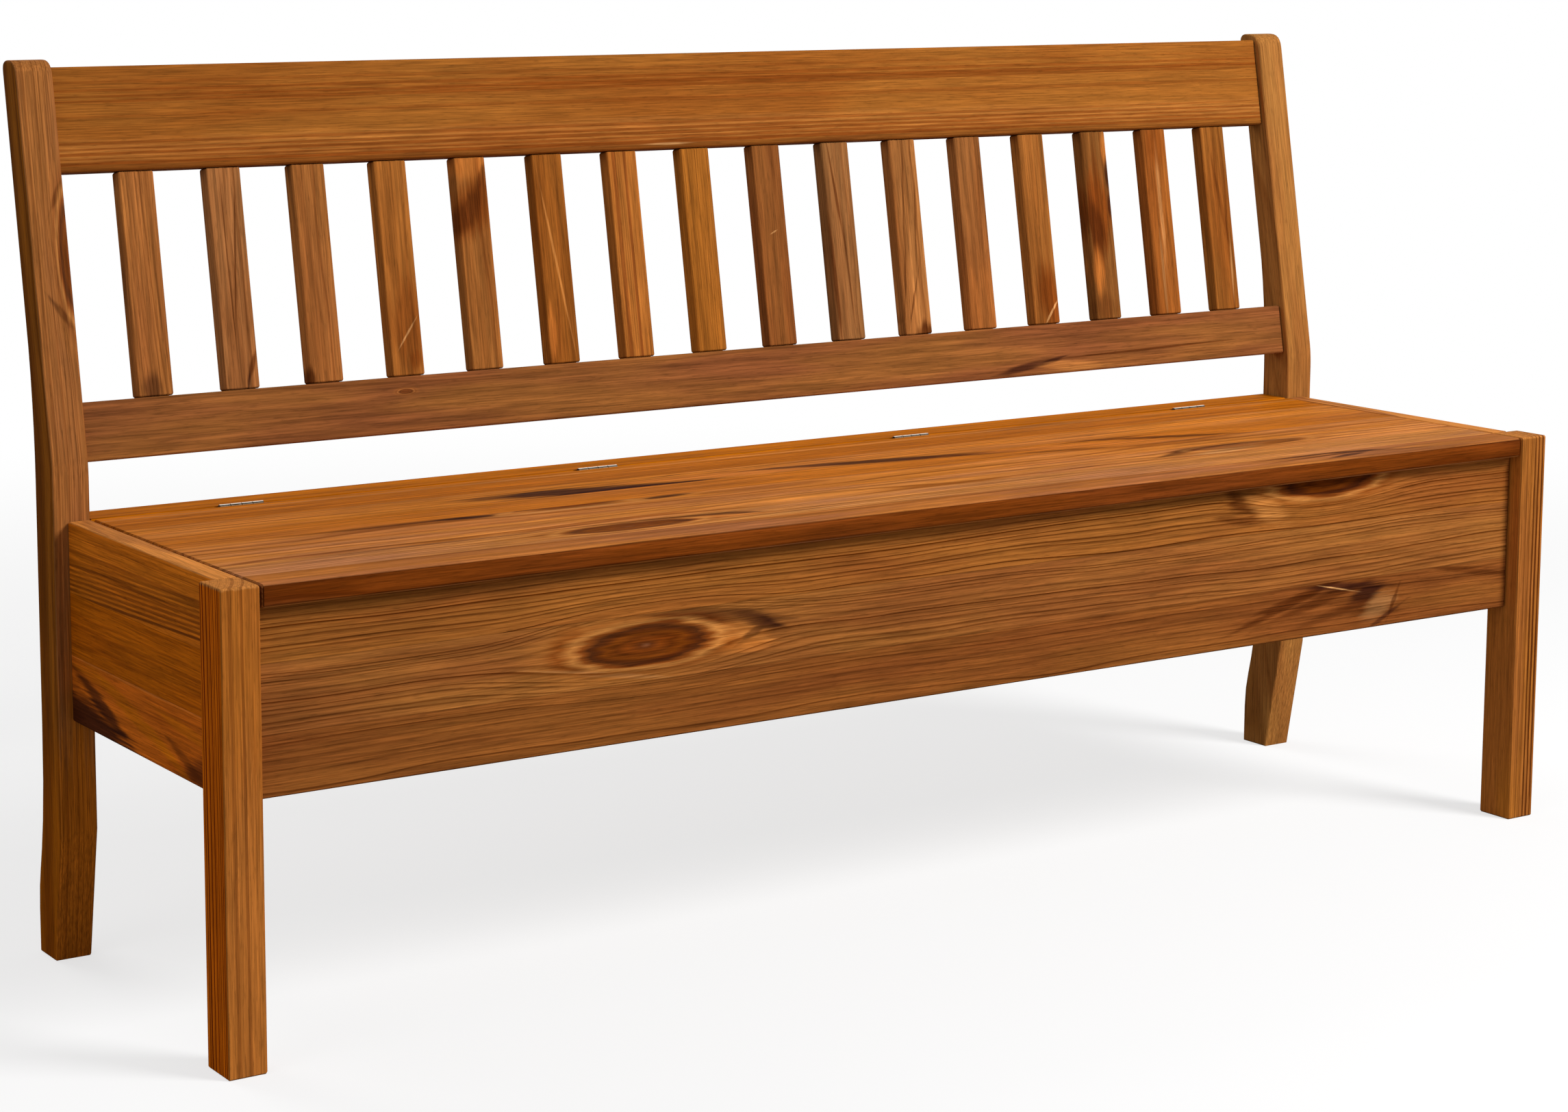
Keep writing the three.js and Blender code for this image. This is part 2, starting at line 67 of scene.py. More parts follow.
# Directions in the bench's frame
RIGHT = Vector((1.0, 0.0, 0.0))
BACKWARD = Vector((0.0, 1.0, 0.0))
UP = Vector((0.0, 0.0, 1.0))
BACK_RAKE = math.radians(10.15)
UP_THE_RAKE = Vector((0.0, math.sin(BACK_RAKE), math.cos(BACK_RAKE)))

# Kinds of node
MATH = "ShaderNodeMath"
VECTOR = "ShaderNodeVectorMath"
RANGE = "ShaderNodeMapRange"
SPLIT = "ShaderNodeSeparateXYZ"
JOIN = "ShaderNodeCombineXYZ"
NOISE = "ShaderNodeTexNoise"
RAMP = "ShaderNodeValToRGB"
PLACE = "ShaderNodeTexCoord"
MIX = "ShaderNodeMix"

# Sockets of the Mix node for colours, which share their names with those for numbers
MIX_FACTOR = 0
MIX_A = 6
MIX_B = 7
MIX_RESULT = 2

# The sRGB curve: a straight toe, and a power above it
SRGB_TOE = 0.04045
SRGB_TOE_SLOPE = 12.92
SRGB_OFFSET = 0.055
SRGB_POWER = 2.4

WHITE = (1.0, 1.0, 1.0, 1.0)
SIDES = ("left", "right")
THIRDS = ("left", "middle", "right")
Socket = bpy.types.NodeSocket
Source = Socket | float | tuple
Sources = dict[str | int, Source] | tuple[Source, ...]


def linear(hex_colour: str, alpha: float = 1.0) -> tuple[float, float, float, float]:
    """Turns an sRGB hex colour to linear light.

    Args:
        hex_colour: a colour such as "#a06030".
        alpha: the fourth number of the result.

    Returns:
        Red, green, blue and alpha.
    """
    shares = [int(hex_colour[i : i + 2], 16) / 255 for i in (1, 3, 5)]
    red, green, blue = (
        share / SRGB_TOE_SLOPE
        if share <= SRGB_TOE
        else ((share + SRGB_OFFSET) / (1 + SRGB_OFFSET)) ** SRGB_POWER
        for share in shares
    )
    return red, green, blue, alpha


class Nodes:
    """The nodes of a material, a world or a modifier."""

    def __init__(self, tree: bpy.types.NodeTree) -> None:
        """Starts from an empty tree."""
        self.tree = tree
        tree.nodes.clear()

    def add(
        self,
        kind: str,
        sources: Sources = (),
        out: int | str = 0,
        stops: list[tuple[float, tuple]] | None = None,
        **settings: object,
    ) -> Socket | None:
        """Adds a node with its settings and links.

        Args:
            kind: Blender's name for the node.
            sources: the sockets or values of its inputs, in order, or by name or number.
            out: the output that is asked for.
            stops: places and colours of a colour ramp.
            settings: the node's own settings, by name.

        Returns:
            The output, or None from a node that ends the tree.
        """
        node = self.tree.nodes.new(kind)
        for name, value in settings.items():
            setattr(node, name, value)
        inputs = sources if isinstance(sources, dict) else dict(enumerate(sources))
        for name, source in inputs.items():
            if isinstance(source, Socket):
                self.tree.links.new(source, node.inputs[name])
            else:
                node.inputs[name].default_value = source
        for number, (place, colour) in enumerate(stops or []):
            ramp = node.color_ramp.elements
            stop = ramp[number] if number < len(ramp) else ramp.new(place)
            stop.position = place
            stop.color = colour
        return node.outputs[out] if node.outputs else None


# Wood


class Stain(Enum):
    """Colours of the marks in oiled pine: most show where resin and branches were, some are other darker or
    paler places, and a few paint light and shade onto a face.
    """

    RESIN = "#32150f"
    UMBER = "#57290c"
    RUSSET = "#7c3c10"
    FLAME = "#dd8236"
    PALE = "#d39a5f"
    GOLD = "#cc8643"
    AMBER = "#c26a0c"


RESIN, UMBER, RUSSET, FLAME, PALE, GOLD, AMBER = Stain


@dataclass(frozen=True)
class Stave:
    """One of the strips that a board is glued from, and where the middle of its tree lay."""

    start: float  # across the board
    pith_across: float
    pith_depth: float
    tint: tuple[float, float, float] = (1.0, 1.0, 1.0)  # what it does to red, green and blue


@dataclass(frozen=True)
class Band:
    """A band across the board where the growth lines are stronger."""

    start: float
    end: float
    strength: float


@dataclass(frozen=True)
class Spot:
    """A place on a board where the wood differs. Each kind also has a tilt, in degrees from the grain."""

    along: float
    across: float
    length: float
    width: float

    THROUGH = 1e6  # so deep that it shows alike all through the board

    def inside(self, nodes: Nodes, place: Socket) -> Socket:
        """Adds the place inside the spot.

        Args:
            nodes: the material's nodes.
            place: millimetres on the board.

        Returns:
            The place in half lengths and half widths from the spot's middle.
        """
        middle = (self.along, self.across, 0.0)
        turn = (0.0, 0.0, math.radians(self.tilt))
        size = (self.length / 2, self.width / 2, self.THROUGH)
        return nodes.add("ShaderNodeMapping", (place, middle, turn, size), vector_type="TEXTURE")


@dataclass(frozen=True)
class Knot(Spot):
    """A branch cut across, with its dark rim, and the grain bowing round it."""

    strength: float = 0.95
    tilt: float = 0.0
    reach: float = 3.6  # how far the grain bows, in knot sizes

    def far(self, nodes: Nodes, inside: Socket) -> Socket:
        """Adds how far out a place is, where 1 is the outline, an ellipse."""
        return nodes.add(VECTOR, (inside,), "Value", operation="LENGTH")


@dataclass(frozen=True)
class Mark(Spot):
    """A long spot of another colour with fibrous edges.

    Single dark growth lines are marks too. They are drawn 2 to 5 mm wide, where real ones are
    about 1 mm, because the soft edges leave nothing of a mark that narrow.
    """

    stain: Stain
    strength: float
    tilt: float = 0.0
    stave: int | None = None  # the only stave it shows on

    SQUASH = (1.0, 0.5, 0.0)
    RISE = (0.0, 1.0, 0.0)

    def far(self, nodes: Nodes, inside: Socket) -> Socket:
        """Adds how far out a place is, where 1 is the outline, a lens with pointed ends.

        Args:
            nodes: the material's nodes.
            inside: the place inside the mark.

        Returns:
            A socket with the distance.
        """
        # Half the height, and the length of half the height and the whole run, add up to a lens
        flat = nodes.add(VECTOR, (inside, self.SQUASH), operation="MULTIPLY")
        size = nodes.add(VECTOR, (flat,), "Value", operation="LENGTH")
        sheer = nodes.add(VECTOR, (flat,), operation="ABSOLUTE")
        rise = nodes.add(VECTOR, (sheer, self.RISE), "Value", operation="DOT_PRODUCT")
        return nodes.add(MATH, (size, rise), operation="ADD")


@dataclass(frozen=True)
class Face:
    """Where a board's face lies, to read the wood in its own millimetres."""

    origin: Vector
    along: Vector
    across: Vector
    bend: float | None = None  # the place along it from which the board leans back with the rake

    def place(self, nodes: Nodes) -> Socket:
        """Adds the nodes that give a point's place on the board.

        Args:
            nodes: the material's nodes.

        Returns:
            A socket with the millimetres along, across and out of the face.
        """
        turn = Matrix((self.along, self.across, self.along.cross(self.across)))
        here = nodes.add(PLACE, out="Object")
        start = turn @ self.origin * -MM_PER_METRE
        links = (here, start, turn.to_euler("XYZ"), (MM_PER_METRE,) * 3)
        place = nodes.add("ShaderNodeMapping", links)
        if self.bend is None:
            return place
        along = nodes.add(SPLIT, (place,))
        past = nodes.add(MATH, (along, self.bend), operation="SUBTRACT")
        past = nodes.add(MATH, (past, 0.0), operation="MAXIMUM")
        back = nodes.add(MATH, (past, -math.tan(BACK_RAKE)), operation="MULTIPLY")
        lean = nodes.add(JOIN, {2: back})
        return nodes.add(VECTOR, (place, lean), operation="ADD")


class Finish:
    """What a piece is made of and how its surface was treated."""

    def surface(self, nodes: Nodes) -> dict[str, Source]:
        """Adds the finish's nodes and gives the sources of the shader's inputs."""
        raise NotImplementedError

    def material(self, name: str) -> bpy.types.Material:
        """Builds the finish.

        Args:
            name: the material's name.

        Returns:
            The material.
        """
        made = bpy.data.materials.new(name)
        made.use_nodes = True
        nodes = Nodes(made.node_tree)
        shader = nodes.add("ShaderNodeBsdfPrincipled", self.surface(nodes))
        nodes.add("ShaderNodeOutputMaterial", (shader,))
        return made


@dataclass(frozen=True)
class OiledPine(Finish):
    """Pine boards, planed and sanded, and brushed with a warm brown oil.

    The oil sinks into the soft early wood and leaves the hard late wood in darker lines. It fills
    no pores, so the surface stays satin, with a low, wide sheen along the fibres.
    """

    face: Face
    staves: tuple[Stave, ...]
    early: str = "#b87235"
    late: str = "#74390f"
    blush: str = "#a9663c"  # the redder, greyer early wood
    ring: float = 3.6  # from one growth line to the next
    contrast: float = 0.6
    wave: float = 6.0  # how far the grain wanders
    wave_run: float = 330.0
    slope: float = 0.0
    streaks: float = 0.18  # how much the broad streaks lighten and darken it
    end_shade: float = 0.5  # end grain drinks the oil and goes darker
    bands: tuple[Band, ...] = ()
    knots: tuple[Knot, ...] = ()
    marks: tuple[Mark, ...] = ()
    seed: float = 0.0

    def surface(self, nodes: Nodes) -> dict[str, Source]:
        """Adds the wood of one board."""
        return Grain(self, nodes).surface()


class Grain:
    """The nodes of one board of oiled pine."""

    # Sizes along and across the grain. Real fibres are 0.03 mm wide and resin canals 0.2 mm.
    # Both are drawn as streaks of 1.4 mm, which still show.
    FIBRE_SIZE = (55.0, 1.4)
    CANAL_SIZE = (15.0, 1.4)
    STREAK_SIZE = (240.0, 8.0)
    CLOUD_SIZE = (260.0, 42.0)
    FRAY_SIZE = (60.0, 4.0)
    WAVE_SHAPE = 5.0  # a wave's length in widths
    FIBRE_DETAIL = 3.0
    CANAL_DETAIL = 1.0
    GLUE_LINE = 0.5
    STAVE_SHIFT = (23.0, 0.0, 3.0)

    # A year's growth, from the pale first wood of spring to the hard dark wood of late summer
    YEAR_SHADES = (
        (0.0, 0.1), (0.06, 0.0), (0.35, 0.1), (0.6, 0.26), (0.78, 0.9), (0.86, 1.0), (0.94, 0.8), (1.0, 0.1)
    )
    YEAR_SCALE = 0.45
    YEAR_SWING = 2.2
    VIGOUR = (0.3, 1.0)
    BAND_FADE = (1.3, 0.7)  # from outside a band's edge to inside it, in half bands

    # A knot's rings, out to twice its rim, each with how solid it is
    KNOT_RINGS = (
        (0.0, "#7a4a30", 1.0), (0.05, "#54250c", 1.0), (0.13, "#743409", 1.0), (0.21, "#562405", 1.0),
        (0.3, "#6f3408", 1.0), (0.37, "#4e2008", 1.0), (0.43, "#3c180a", 0.97), (0.5, "#7a3a10", 0.85),
        (0.58, "#c98542", 0.65), (0.68, "#8a4512", 0.4), (0.8, "#b87030", 0.3), (1.0, "#b87030", 0.0),
    )
    KNOT_FRAY = 0.4
    MARK_FRAY = 1.1
    MARK_FADE = (1.3, 0.5)  # from outside a mark's edge to inside it, in half marks

    # The part of each noise that counts, and what it does to the light
    BLUSH_RANGE = (0.35, 0.68)
    FIBRE_RANGE = (0.34, 0.66)
    FIBRE_SHADES = (0.74, 1.24)
    STREAK_RANGE = (0.3, 0.7)
    CANAL_RANGE = (0.58, 0.72)
    CANAL_SHADE = 0.78
    GLUE_SHADE = 0.7
    END_RANGE = (0.5, 0.85)
    LATE_RISE = 0.6  # how far late wood stands proud, in fibres
    RELIEF = 0.12 * MM
    BUMP_STRENGTH = 0.5
    ROUGHNESS = (0.52, 0.72)
    SHEEN_LEVEL = 0.006  # oil that sank in mirrors far less than varnish does

    def __init__(self, wood: OiledPine, nodes: Nodes) -> None:
        """Adds the place on the board, and what differs from stave to stave.

        Args:
            wood: the board's wood.
            nodes: its material's nodes.
        """
        self.wood = wood
        self.nodes = nodes
        self.add = nodes.add
        self.place = wood.face.place(nodes)
        self.across = self.add(SPLIT, (self.place,), 1)
        first = wood.staves[0]
        pith = self.add(JOIN, (first.pith_across, first.pith_depth))
        self.tint = self.add(JOIN, first.tint)
        self.switches = []  # one for each stave but the first
        self.glue = self.add("ShaderNodeValue")
        self.glue.default_value = 0.0
        for before, after in zip(wood.staves, wood.staves[1:]):
            switch = self.add(MATH, (self.across, after.start), operation="GREATER_THAN")
            move = (after.pith_across - before.pith_across, after.pith_depth - before.pith_depth, 0.0)
            change = Vector(after.tint) - Vector(before.tint)
            pith = self.add(VECTOR, (switch, move, pith), operation="MULTIPLY_ADD")
            self.tint = self.add(VECTOR, (switch, change, self.tint), operation="MULTIPLY_ADD")
            line = self.add(MATH, (self.across, after.start, self.GLUE_LINE), operation="COMPARE")
            self.glue = self.add(MATH, (self.glue, line), operation="MAXIMUM")
            self.switches.append(switch)
        self.pith = self.add(SPLIT, (pith,)).node.outputs
        # Each stave is another plank, so its fibres and clouds are read from another place
        shift = self.add(JOIN, {0: self.pith[0], 2: self.pith[0]})
        self.plank = self.add(VECTOR, (shift, self.STAVE_SHIFT, self.place), operation="MULTIPLY_ADD")

    def noise(
        self, place: Socket, size: tuple[float, float], detail: float = 2.0, out: str = "Fac"
    ) -> Socket:
        """Adds noise that is stretched along the grain.

        Args:
            place: millimetres on the board.
            size: its length along the grain and its width across it.
            detail: how many finer layers it has.
            out: "Fac" for a number or "Color" for three.

        Returns:
            The noise.
        """
        run, width = size
        scale = (1 / run, 1 / width, 1 / width)
        seed = self.wood.seed
        moved = self.add(VECTOR, (place, scale, (seed, -seed, seed)), operation="MULTIPLY_ADD")
        return self.add(NOISE, {"Vector": moved, "Scale": 1.0, "Detail": detail}, out)

    def bent_place(self) -> Socket:
        """Adds the wandering of the grain, and its bow round each knot.

        Returns:
            The place in straight grain that the point's wood comes from.
        """
        wave, run = self.wood.wave, self.wood.wave_run
        wander = self.noise(self.plank, (run, run / self.WAVE_SHAPE), out="Color")
        bent = self.add(VECTOR, (wander, (0.0, 2 * wave, 2 * wave), self.place), operation="MULTIPLY_ADD")
        for knot in self.wood.knots:
            inside = knot.inside(self.nodes, self.place)
            links = (knot.far(self.nodes, inside), knot.reach, 0.0, 0.0, 1.0)
            pull = self.add(RANGE, links, interpolation_type="SMOOTHERSTEP")
            push = self.add(VECTOR, (inside, (0.0, -knot.width / 2, 0.0)), operation="MULTIPLY")
            bent = self.add(VECTOR, (push, pull, bent), operation="MULTIPLY_ADD")
        return bent

    def line_strength(self) -> Socket:
        """Adds how dark the growth lines are, by place across the board.

        Returns:
            A socket with the strength.
        """
        strength = self.add("ShaderNodeValue")
        strength.default_value = self.wood.contrast
        for band in self.wood.bands:
            outside, inside = (share * (band.end - band.start) / 2 for share in self.BAND_FADE)
            off = self.add(MATH, (self.across, (band.start + band.end) / 2), operation="SUBTRACT")
            off = self.add(MATH, (off,), operation="ABSOLUTE")
            links = (off, outside, inside, 0.0, band.strength)
            more = self.add(RANGE, links, interpolation_type="SMOOTHSTEP")
            strength = self.add(MATH, (strength, more), operation="ADD")
        return strength

    def growth_lines(self) -> Socket:
        """Adds the growth rings round the pith, cut by the board's surface.

        Returns:
            How late the wood is, from 0 to 1, times the strength of its lines.
        """
        bent = self.add(SPLIT, (self.bent_place(),)).node.outputs
        aside = self.add(MATH, (bent[1], self.pith[0]), operation="SUBTRACT")
        aside = self.add(MATH, (bent[0], self.wood.slope, aside), operation="MULTIPLY_ADD")
        deep = self.add(MATH, (bent[2], self.pith[1]), operation="SUBTRACT")
        spoke = self.add(JOIN, (aside, deep))
        radius = self.add(VECTOR, (spoke,), "Value", operation="LENGTH")
        count = self.add(MATH, (radius, self.wood.ring), operation="DIVIDE")
        # Years differ, so the rings aren't evenly wide
        links = {"W": count, "Scale": self.YEAR_SCALE, "Detail": 1.0}
        years = self.add(NOISE, links, "Fac", noise_dimensions="1D")
        count = self.add(MATH, (years, self.YEAR_SWING, count), operation="MULTIPLY_ADD")
        part = self.add(MATH, (count,), operation="FRACT")
        year = self.add(MATH, (count,), operation="FLOOR")
        chance = self.add("ShaderNodeTexWhiteNoise", {"W": year}, "Value", noise_dimensions="1D")
        vigour = self.add(RANGE, (chance, 0.0, 1.0, *self.VIGOUR))
        stops = [(at, (shade, shade, shade, 1.0)) for at, shade in self.YEAR_SHADES]
        late = self.add(RAMP, (part,), "Color", stops)
        late = self.add(MATH, (late, vigour), operation="MULTIPLY")
        return self.add(MATH, (late, self.line_strength()), operation="MULTIPLY")

    def with_knot(self, colour: Socket, edge: Socket, knot: Knot) -> Socket:
        """Adds a knot's core, with its own rings and rim, and the pale wood round it.

        Args:
            colour: the wood without it.
            edge: noise that makes its outline uneven.
            knot: the knot.

        Returns:
            The wood with it.
        """
        far = knot.far(self.nodes, knot.inside(self.nodes, self.place))
        far = self.add(MATH, (edge, self.KNOT_FRAY, far), operation="MULTIPLY_ADD")
        half = self.add(MATH, (far, 0.5), operation="MULTIPLY")
        stops = [(at, linear(tone, solid)) for at, tone, solid in self.KNOT_RINGS]
        core = self.add(RAMP, (half,), "Color", stops)
        much = self.add(MATH, (core.node.outputs["Alpha"], knot.strength), operation="MULTIPLY")
        links = {MIX_FACTOR: much, MIX_A: colour, MIX_B: core}
        return self.add(MIX, links, MIX_RESULT, data_type="RGBA")

    def with_mark(self, colour: Socket, edge: Socket, mark: Mark) -> Socket:
        """Adds a mark with edges that run out along the fibres.

        Args:
            colour: the wood without it.
            edge: noise that makes its outline uneven.
            mark: the mark.

        Returns:
            The wood with it.
        """
        far = mark.far(self.nodes, mark.inside(self.nodes, self.place))
        far = self.add(MATH, (edge, self.MARK_FRAY, far), operation="MULTIPLY_ADD")
        links = (far, *self.MARK_FADE, 0.0, mark.strength)
        much = self.add(RANGE, links, interpolation_type="SMOOTHSTEP")
        if mark.stave:
            much = self.add(MATH, (much, self.switches[mark.stave - 1]), operation="MULTIPLY")
        if mark.stave is not None and mark.stave < len(self.switches):
            off = self.add(MATH, (1.0, self.switches[mark.stave]), operation="SUBTRACT")
            much = self.add(MATH, (much, off), operation="MULTIPLY")
        links = {MIX_FACTOR: much, MIX_A: colour, MIX_B: linear(mark.stain.value)}
        return self.add(MIX, links, MIX_RESULT, data_type="RGBA")

    def surface(self) -> dict[str, Source]:
        """Adds the wood of the board.

        Returns:
            The sources of the shader's inputs.
        """
        wood = self.wood
        late = self.growth_lines()
        fibre = self.noise(self.plank, self.FIBRE_SIZE, self.FIBRE_DETAIL)
        canals = self.noise(self.plank, self.CANAL_SIZE, self.CANAL_DETAIL)
        streak = self.noise(self.plank, self.STREAK_SIZE)
        cloud = self.noise(self.plank, self.CLOUD_SIZE)

        # The early wood goes from golden to redder and greyer in long clouds
        blush = self.add(RANGE, (cloud, *self.BLUSH_RANGE, 0.0, 1.0), interpolation_type="SMOOTHSTEP")
        links = {MIX_FACTOR: blush, MIX_A: linear(wood.early), MIX_B: linear(wood.blush)}
        colour = self.add(MIX, links, MIX_RESULT, data_type="RGBA")
        colour = self.add(VECTOR, (colour, self.tint), operation="MULTIPLY")

        # Knots and marks have edges that run out along the fibres, and growth lines cross the marks
        frayed = self.noise(self.place, self.FRAY_SIZE)
        edge = self.add(MATH, (frayed, 0.5), operation="SUBTRACT")
        for mark in wood.marks:
            colour = self.with_mark(colour, edge, mark)
        darker = tuple(dark / light for dark, light in zip(linear(wood.late), linear(wood.early)))
        links = {MIX_FACTOR: late, MIX_A: WHITE, MIX_B: darker}
        lines = self.add(MIX, links, MIX_RESULT, data_type="RGBA")
        colour = self.add(VECTOR, (colour, lines), operation="MULTIPLY")
        for knot in wood.knots:
            colour = self.with_knot(colour, edge, knot)

        # Fibres, broad streaks, resin canals, glue lines and end grain shade it
        shade = self.add(RANGE, (fibre, *self.FIBRE_RANGE, *self.FIBRE_SHADES))
        broad = self.add(RANGE, (streak, *self.STREAK_RANGE, 1.0 - wood.streaks, 1.0 + wood.streaks))
        spots = self.add(RANGE, (canals, *self.CANAL_RANGE, 1.0, self.CANAL_SHADE))
        glued = self.add(RANGE, (self.glue, 0.0, 1.0, 1.0, self.GLUE_SHADE))
        outward = self.add(PLACE, out="Normal")
        facing = self.add(VECTOR, (outward, wood.face.along), "Value", operation="DOT_PRODUCT")
        facing = self.add(MATH, (facing,), operation="ABSOLUTE")
        ends = self.add(RANGE, (facing, *self.END_RANGE, 1.0, wood.end_shade))
        for factor in (broad, spots, glued, ends):
            shade = self.add(MATH, (shade, factor), operation="MULTIPLY")
        colour = self.add(VECTOR, {0: colour, "Scale": shade}, operation="SCALE")

        # The hard late wood stands a little higher after sanding
        height = self.add(MATH, (late, self.LATE_RISE, fibre), operation="MULTIPLY_ADD")
        links = {"Strength": self.BUMP_STRENGTH, "Distance": self.RELIEF, "Height": height}
        bump = self.add("ShaderNodeBump", links)
        satin = self.add(RANGE, (fibre, 0.0, 1.0, *self.ROUGHNESS))
        return {
            "Base Color": colour,
            "Roughness": satin,
            "Specular IOR Level": self.SHEEN_LEVEL,
            "Normal": bump,
        }


# Other finishes


@dataclass(frozen=True)
class PoplarPlywood(Finish):
    """Poplar plywood, 12 mm thick, sanded and left raw: pale faces and layered edges."""

    face: str = "#cda676"
    vein: str = "#b88c5a"
    layer: str = "#9d7243"
    PLY = 2.4  # thickness of each of its five layers
    VEIN_RUN = 240.0
    VEIN_WIDTH = 9.0
    VEIN_RANGE = (0.35, 0.62)
    VEIN_DETAIL = 4.0
    VEIN_TWIST = 0.6
    RELIEF = 0.1 * MM
    BUMP_STRENGTH = 0.3
    ROUGHNESS = 0.62

    def surface(self, nodes: Nodes) -> dict[str, Source]:
        """Adds the plywood.

        Args:
            nodes: the material's nodes.

        Returns:
            The sources of the shader's inputs.
        """
        here = nodes.add(PLACE, out="Object")
        scale = (MM_PER_METRE / self.VEIN_RUN,) + (MM_PER_METRE / self.VEIN_WIDTH,) * 2
        stretched = nodes.add(VECTOR, (here, scale), operation="MULTIPLY")
        links = {"Vector": stretched, "Scale": 1.0, "Detail": self.VEIN_DETAIL, "Distortion": self.VEIN_TWIST}
        veins = nodes.add(NOISE, links, "Fac")
        stops = list(zip(self.VEIN_RANGE, (linear(self.vein), linear(self.face))))
        colour = nodes.add(RAMP, (veins,), "Color", stops)
        # Every other layer runs crosswise and shows its darker end grain on the edges
        height = nodes.add(SPLIT, (here,), 2)
        layers = nodes.add(MATH, (height, MM_PER_METRE / self.PLY / 2), operation="MULTIPLY")
        part = nodes.add(MATH, (layers,), operation="FRACT")
        cross = nodes.add(MATH, (part, 0.5), operation="GREATER_THAN")
        normal = nodes.add("ShaderNodeNewGeometry", out="Normal")
        upright = nodes.add(SPLIT, (normal,), 2)
        upright = nodes.add(MATH, (upright,), operation="ABSOLUTE")
        edge = nodes.add(MATH, (upright, 0.5), operation="LESS_THAN")
        shown = nodes.add(MATH, (cross, edge), operation="MULTIPLY")
        links = {MIX_FACTOR: shown, MIX_A: colour, MIX_B: linear(self.layer)}
        colour = nodes.add(MIX, links, MIX_RESULT, data_type="RGBA")
        links = {"Strength": self.BUMP_STRENGTH, "Distance": self.RELIEF, "Height": veins}
        bump = nodes.add("ShaderNodeBump", links)
        return {"Base Color": colour, "Roughness": self.ROUGHNESS, "Normal": bump}


@dataclass(frozen=True)
class TurnedBeech(Finish):
    """Beech dowel rod, turned and fluted: even, pinkish, with short dark flecks."""

    wood: str = "#c99b6b"
    fleck: str = "#94623a"
    FLECK_SIZE = 2.5
    FLECK_RANGE = (0.34, 0.5)
    FLECK_DETAIL = 3.0
    ROUGHNESS = 0.55

    def surface(self, nodes: Nodes) -> dict[str, Source]:
        """Adds the beech.

        Args:
            nodes: the material's nodes.

        Returns:
            The sources of the shader's inputs.
        """
        here = nodes.add(PLACE, out="Object")
        links = {"Vector": here, "Scale": MM_PER_METRE / self.FLECK_SIZE, "Detail": self.FLECK_DETAIL}
        flecks = nodes.add(NOISE, links, "Fac")
        stops = list(zip(self.FLECK_RANGE, (linear(self.fleck), linear(self.wood))))
        colour = nodes.add(RAMP, (flecks,), "Color", stops)
        return {"Base Color": colour, "Roughness": self.ROUGHNESS}


@dataclass(frozen=True)
class ZincSteel(Finish):
    """Rolled steel, zinc plated: faint spangle, gone dull with oil and dust.

    A pale colour painted along the knuckles' crest, by height, is a painted highlight: it shows as a thin
    bright line.
    """

    bright: str = "#4c4238"
    dull: str = "#30281f"
    crest_highlight: str = "#efe6d8"
    CREST_HIGHLIGHT_LEVELS = (451.25 * MM, 451.5 * MM)  # the painted highlight starts here and is whole here; the crest is at 451.8 mm
    CREST_HIGHLIGHT_METAL = 0.3  # how metallic the painted highlight along the crest still looks
    SPANGLE = 3.0  # zinc crystals are about this wide
    ROUGHNESS = (0.38, 0.52)

    def surface(self, nodes: Nodes) -> dict[str, Source]:
        """Adds the plated steel.

        Args:
            nodes: the material's nodes.

        Returns:
            The sources of the shader's inputs.
        """
        here = nodes.add(PLACE, out="Object")
        links = {"Vector": here, "Scale": MM_PER_METRE / self.SPANGLE}
        spangle = nodes.add("ShaderNodeTexVoronoi", links, "Color")
        grey = nodes.add("ShaderNodeSeparateColor", (spangle,))
        stops = [(0.0, linear(self.dull)), (1.0, linear(self.bright))]
        colour = nodes.add(RAMP, (grey,), "Color", stops)
        # A painted highlight: the top of the knuckles, by height, turns pale and less metallic to show a thin
        # bright line
        height = nodes.add(SPLIT, (here,), 2)
        crest = nodes.add(RANGE, (height, *self.CREST_HIGHLIGHT_LEVELS, 0.0, 1.0))
        links = {MIX_FACTOR: crest, MIX_A: colour, MIX_B: linear(self.crest_highlight)}
        colour = nodes.add(MIX, links, MIX_RESULT, data_type="RGBA")
        satin = nodes.add(RANGE, (grey, 0.0, 1.0, *self.ROUGHNESS))
        metal = nodes.add(RANGE, (crest, 0.0, 1.0, 1.0, self.CREST_HIGHLIGHT_METAL))
        return {"Base Color": colour, "Roughness": satin, "Metallic": metal}


